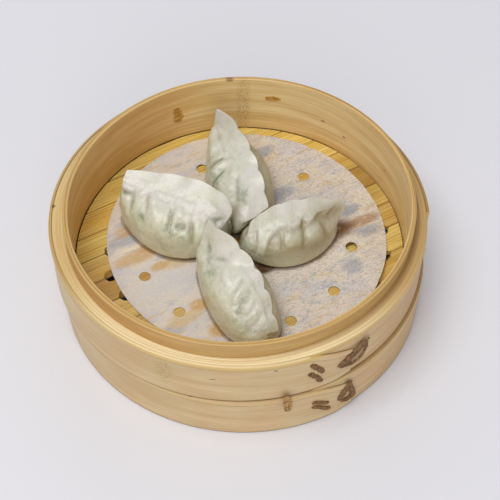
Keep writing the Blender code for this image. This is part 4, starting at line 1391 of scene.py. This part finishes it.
def dumpling_grid(shape):
    """Points as (station, place round the section, axis), in the basket's frame."""
    pleated = dumpling_side(shape, STATION_PLACES, -1)
    smooth = dumpling_side(shape, STATION_PLACES, 1)
    loop = np.concatenate([pleated, smooth[:0:-1]])
    x = loop[..., 0]
    y = loop[..., 1] + shape.bend * (STATION_PLACES**2 - BEND_MIDDLE)
    z = np.maximum(loop[..., 2], 0.0)
    x, y = rotated(x, y, shape.heading)
    placed = (shape.place[0] + x, shape.place[1] + y, FOOD_BOTTOM + z)
    return np.stack(placed, axis=-1).transpose(1, 0, 2)


def grid_normals(grid):
    """Outward directions at the points of a dumpling's grid."""
    along = np.gradient(grid, axis=0)
    around = (np.roll(grid, -1, axis=1) - np.roll(grid, 1, axis=1)) / 2
    normals = np.cross(around, along)
    lengths = np.linalg.norm(normals, axis=-1, keepdims=True)
    normals = normals / np.maximum(lengths, 1e-9)
    middle = grid.mean(axis=(0, 1))
    outward = np.sum(normals * (grid - middle), axis=-1).mean()
    return normals * np.sign(outward)


def lumps(grid, size):
    """Smooth noise from -1 to 1 at each point."""
    flat = [noise.noise(Vector(point)) for point in (grid / size).reshape(-1, 3)]
    return np.array(flat).reshape(grid.shape[:2])


def belly_swell(grid, up):
    """How far the filling's lumps push out the dough between a dumpling's base and its crest."""
    finer, share = SMALL_LUMPS
    swell = LUMP_HEIGHT * lumps(grid, LUMP_SIZE) + share * LUMP_HEIGHT * lumps(grid, LUMP_SIZE / finer)
    rise = np.clip((up - LUMPS_BEGIN[0]) / LUMPS_BEGIN[1], 0, 1)
    fall = np.clip((LUMPS_END[0] - up) / LUMPS_END[1], 0, 1)
    return swell * (rise * fall)


def end_faces(first, around):
    """Quads that shut the thin end of a dumpling, from one side of the dough to the other."""
    faces = []
    for index in range((around - 1) // 2):
        left, right = index, (around - index) % around
        next_left, next_right = index + 1, around - index - 1
        corners = dict.fromkeys((left, next_left, next_right, right))
        faces.append(tuple(first + corner for corner in corners))
    return faces


def on_side(side, path):
    """Points of a dumpling's side at places given as (-1 to 1 along it, 0 to 1 up it)."""
    station = (STATIONS - 1) * np.arccos(-path[:, 0]) / math.pi
    row = (SIDE_POINTS - 1) * path[:, 1]
    left = np.minimum(station.astype(int), STATIONS - 2)
    low = np.minimum(row.astype(int), SIDE_POINTS - 2)
    ahead = (station - left)[:, None]
    above = (row - low)[:, None]
    near = side[left, low] * (1 - above) + side[left, low + 1] * above
    far = side[left + 1, low] * (1 - above) + side[left + 1, low + 1] * above
    return near * (1 - ahead) + far * ahead


def nearest_on_path(points, places):
    """How far each point is from a line through the places, and how far along the line that is."""
    best = np.full(points.shape[:2], np.inf)
    steps = np.zeros(points.shape[:2])
    for index, (start, stop) in enumerate(zip(places, places[1:])):
        along = stop - start
        share = np.clip((points - start) @ along / (along @ along), 0, 1)
        distance = np.linalg.norm(points - start - share[..., None] * along, axis=-1)
        closer = distance < best
        best = np.where(closer, distance, best)
        steps = np.where(closer, index + share, steps)
    return best, steps


def trace_shares(side, trace):
    """How much each point of the pleated side belongs to a trace, and how far left of it it is."""
    path = spline(np.array(trace.path), TRACE_STEPS)
    distance, steps = nearest_on_path(side, on_side(side, path))
    spots = np.stack(np.meshgrid(STATION_PLACES, SIDE_PLACES, indexing="ij"), axis=-1)
    count = np.arange(TRACE_STEPS)
    closest = np.stack([np.interp(steps, count, path[:, axis]) for axis in (0, 1)], axis=-1)
    offset = (spots - closest) * TRACE_SCALE
    ahead = np.gradient(path, axis=0)[np.rint(steps).astype(int)] * TRACE_SCALE
    turn = ahead[..., 0] * offset[..., 1] - ahead[..., 1] * offset[..., 0]
    start, power = TRACE_ENDS
    taper = np.sin(start + (math.pi - 2 * start) * steps / (TRACE_STEPS - 1)) ** power
    share = np.exp(-((distance / trace.width) ** TRACE_EDGE)) * taper
    return share, distance * np.sign(turn)


def trace_dough(name, side):
    """How far the traces push the pleated side out, and how much filling and shade they show."""
    push, filling, shade = np.zeros((3, *side.shape[:2]))
    for trace in TRACES[name]:
        share, left = trace_shares(side, trace)
        over = np.tanh(left / STEP_SHARPNESS)
        push += share * (trace.height + trace.step / 2 * over)
        filling += share * trace.filling
        shade += share * trace.shade * (0.5 - 0.5 * over if trace.step else 1.0)
    return push, filling, shade


def both_sides(values, smooth=0.0):
    """Values on the pleated side, with one value for the smooth side."""
    return np.concatenate([values, np.full_like(values[:, 1:], smooth)], axis=1)


def fold_dough(name, grid, normals):
    """Presses the traces into the pleated side. The thin crest moves as a whole."""
    push, filling, shade = trace_dough(name, grid[:, :SIDE_POINTS])
    vectors = push[..., None] * normals[:, :SIDE_POINTS]
    start, length = CREST_FROM
    carried = np.clip((SIDE_PLACES - start) / length, 0, 1)[None, :, None] * vectors
    moved = np.concatenate([vectors, carried[:, :0:-1]], axis=1)
    return grid + moved, both_sides(push), both_sides(filling), both_sides(shade, SMOOTH_SHADE)


def make_dumpling(shape, material):
    """A crescent of dough with its pleats, its folds and the lumps of its filling."""
    grid = dumpling_grid(shape)
    around = grid.shape[1]
    up = np.concatenate([SIDE_PLACES, SIDE_PLACES[:0:-1]])
    along = STATION_PLACES[:, None] * shape.length / 2
    swell = belly_swell(grid, up)
    normals = grid_normals(grid)
    grid, fold, filling, shade = fold_dough(shape.name, grid, normals)
    grid = press(shape.name, grid + swell[..., None] * normals)
    grid[..., 2] = np.maximum(grid[..., 2], FOOD_BOTTOM)
    faces = grid_faces(STATIONS, around, columns_close=True)
    faces += end_faces(0, around)
    faces += end_faces((STATIONS - 1) * around, around)
    numbers = {
        "up": np.broadcast_to(up, grid.shape[:2]),
        "along": np.broadcast_to(along, grid.shape[:2]),
        "fold": fold,
        "filling": np.clip(filling, 0, 1),
        "shade": np.clip(shade, 0, 1),
    }
    add_piece(shape.name, grid.reshape(-1, 3), faces, material, "dumpling_dough", **numbers)


TABLE_TONE = (228, 228, 234)
TABLE_HALF = 3000.0
LAMP_COLOUR = (1.0, 0.99, 0.97)
# The soft square lights: their names, places, sizes and powers in watts.
LIGHTS = (
    ("key_light", (-493.0, -373.0, 1902.0), 1120.0, 19.5),
    ("front_light", (0.0, -1104.0, 587.0), 800.0, 4.0),
    ("back_light", (0.0, 1104.0, 587.0), 800.0, 1.8),
)
STUDIO_COLOUR = (0.97, 0.97, 1.0, 1.0)
STUDIO_STRENGTH = 0.4
CAMERA_NEAR = 10.0  # nothing nearer than this shows


def make_stage():
    """A plain pale table top."""
    look = Look("table_top")
    look.set(Base_Color=linear(*TABLE_TONE), Roughness=0.7)
    mesh = bpy.data.meshes.new("table_top")
    half = TABLE_HALF * MM
    corners = ((-half, -half, 0.0), (half, -half, 0.0), (half, half, 0.0), (-half, half, 0.0))
    mesh.from_pydata(corners, [], [(0, 1, 2, 3)])
    mesh.materials.append(look.material)
    table = linked("table_top", mesh)


def make_lights():
    """Lights that point at the basket, in a bright room."""
    for name, place, size, power in LIGHTS:
        lamp = bpy.data.lights.new(name, "AREA")
        lamp.size = size * MM
        lamp.energy = power
        lamp.color = LAMP_COLOUR
        light = linked(name, lamp)
        light.location = Vector(place) * MM
        light.rotation_euler = (-Vector(place)).to_track_quat("-Z", "Y").to_euler()
    world = bpy.data.worlds.new("studio")
    world.use_nodes = True
    background = world.node_tree.nodes["Background"]
    background.inputs["Color"].default_value = STUDIO_COLOUR
    background.inputs["Strength"].default_value = STUDIO_STRENGTH
    bpy.context.scene.world = world


def make_camera():
    """The camera of the photograph."""
    lens = bpy.data.cameras.new("camera")
    lens.lens = CAMERA_LENS
    lens.clip_start = CAMERA_NEAR * MM
    camera = linked("camera", lens)
    camera.location = Vector(CAMERA_PLACE) * MM
    camera.rotation_euler = Euler([math.radians(turn) for turn in CAMERA_TURN])
    bpy.context.scene.camera = camera
    bpy.context.scene.view_settings.view_transform = "Standard"


LOWER_SKIN_SHARE = 0.3  # how much of the golden skin band the lower hoop shows


def make_hoops():
    """Both hoops. The lower one's top and the upper one's foot leave a gap at their seam."""
    seam_low, seam_high = SEAM_HEIGHT - GAP / 2, SEAM_HEIGHT + GAP / 2
    lower = hoop_look("hoop_bamboo_lower", 0.0, seam_low, LEDGE_TOP, LOWER_SKIN_SHARE)
    upper = hoop_look("hoop_bamboo_upper", seam_high, HOOP_TOP, CORE_TOP)
    strip = hoop_look("hoop_bamboo_strip", seam_high, HOOP_TOP, STRIP_TOP)
    make_hoop_core("lower_hoop_core", LOWER, 0.0, seam_low, lower)
    make_hoop_core("upper_hoop_core", UPPER, seam_high, HOOP_TOP, upper)
    make_hoop_strip("lower_hoop_strip", LOWER, 0.0, seam_low, LOWER_TONGUE_TIP, lower)
    make_hoop_strip("upper_hoop_strip", UPPER, seam_high, HOOP_TOP, UPPER_TONGUE_TIP, strip)


def make_strands():
    """The stitches on the hoops, over their seam and on the inside of the wall."""
    lacing = lacing_look("lacing", LACING_TONE, LACING_SPOTS)
    tie = lacing_look("seam_tie_bamboo", SEAM_TIE_TONE, SEAM_TIE_SPOTS)
    groups = (
        (UPPER_STRANDS, UPPER, LACING_RADIUS, 1, lacing),
        (LOWER_STRANDS, LOWER, LACING_RADIUS, 1, lacing),
        (SEAM_STRANDS, LOWER, SEAM_TIE_RADIUS, 1, tie),
        (INSIDE_STRANDS, INNER, INNER_RADIUS, -1, tie_look()),
    )
    for strands, ring, radius, outward, material in groups:
        for strand in strands:
            make_strand(strand, ring, radius, outward, material)


def main():
    """Builds the filled basket, its stage, the lights and the camera."""
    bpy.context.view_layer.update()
    make_inner_ring(wall_look())
    make_hoops()
    make_strands()
    make_floor()
    make_bars(slat_look(0, BAR_TINT))
    make_liner(paper_look())
    dough = dough_look()
    for shape in DUMPLINGS:
        make_dumpling(shape, dough)
    make_stage()
    make_lights()
    make_camera()


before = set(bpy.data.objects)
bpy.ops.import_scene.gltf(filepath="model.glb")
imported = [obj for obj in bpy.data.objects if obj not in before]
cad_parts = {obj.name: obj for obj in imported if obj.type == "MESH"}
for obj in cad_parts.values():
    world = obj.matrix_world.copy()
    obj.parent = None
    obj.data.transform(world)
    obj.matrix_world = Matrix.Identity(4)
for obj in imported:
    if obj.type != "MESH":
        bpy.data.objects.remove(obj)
main()
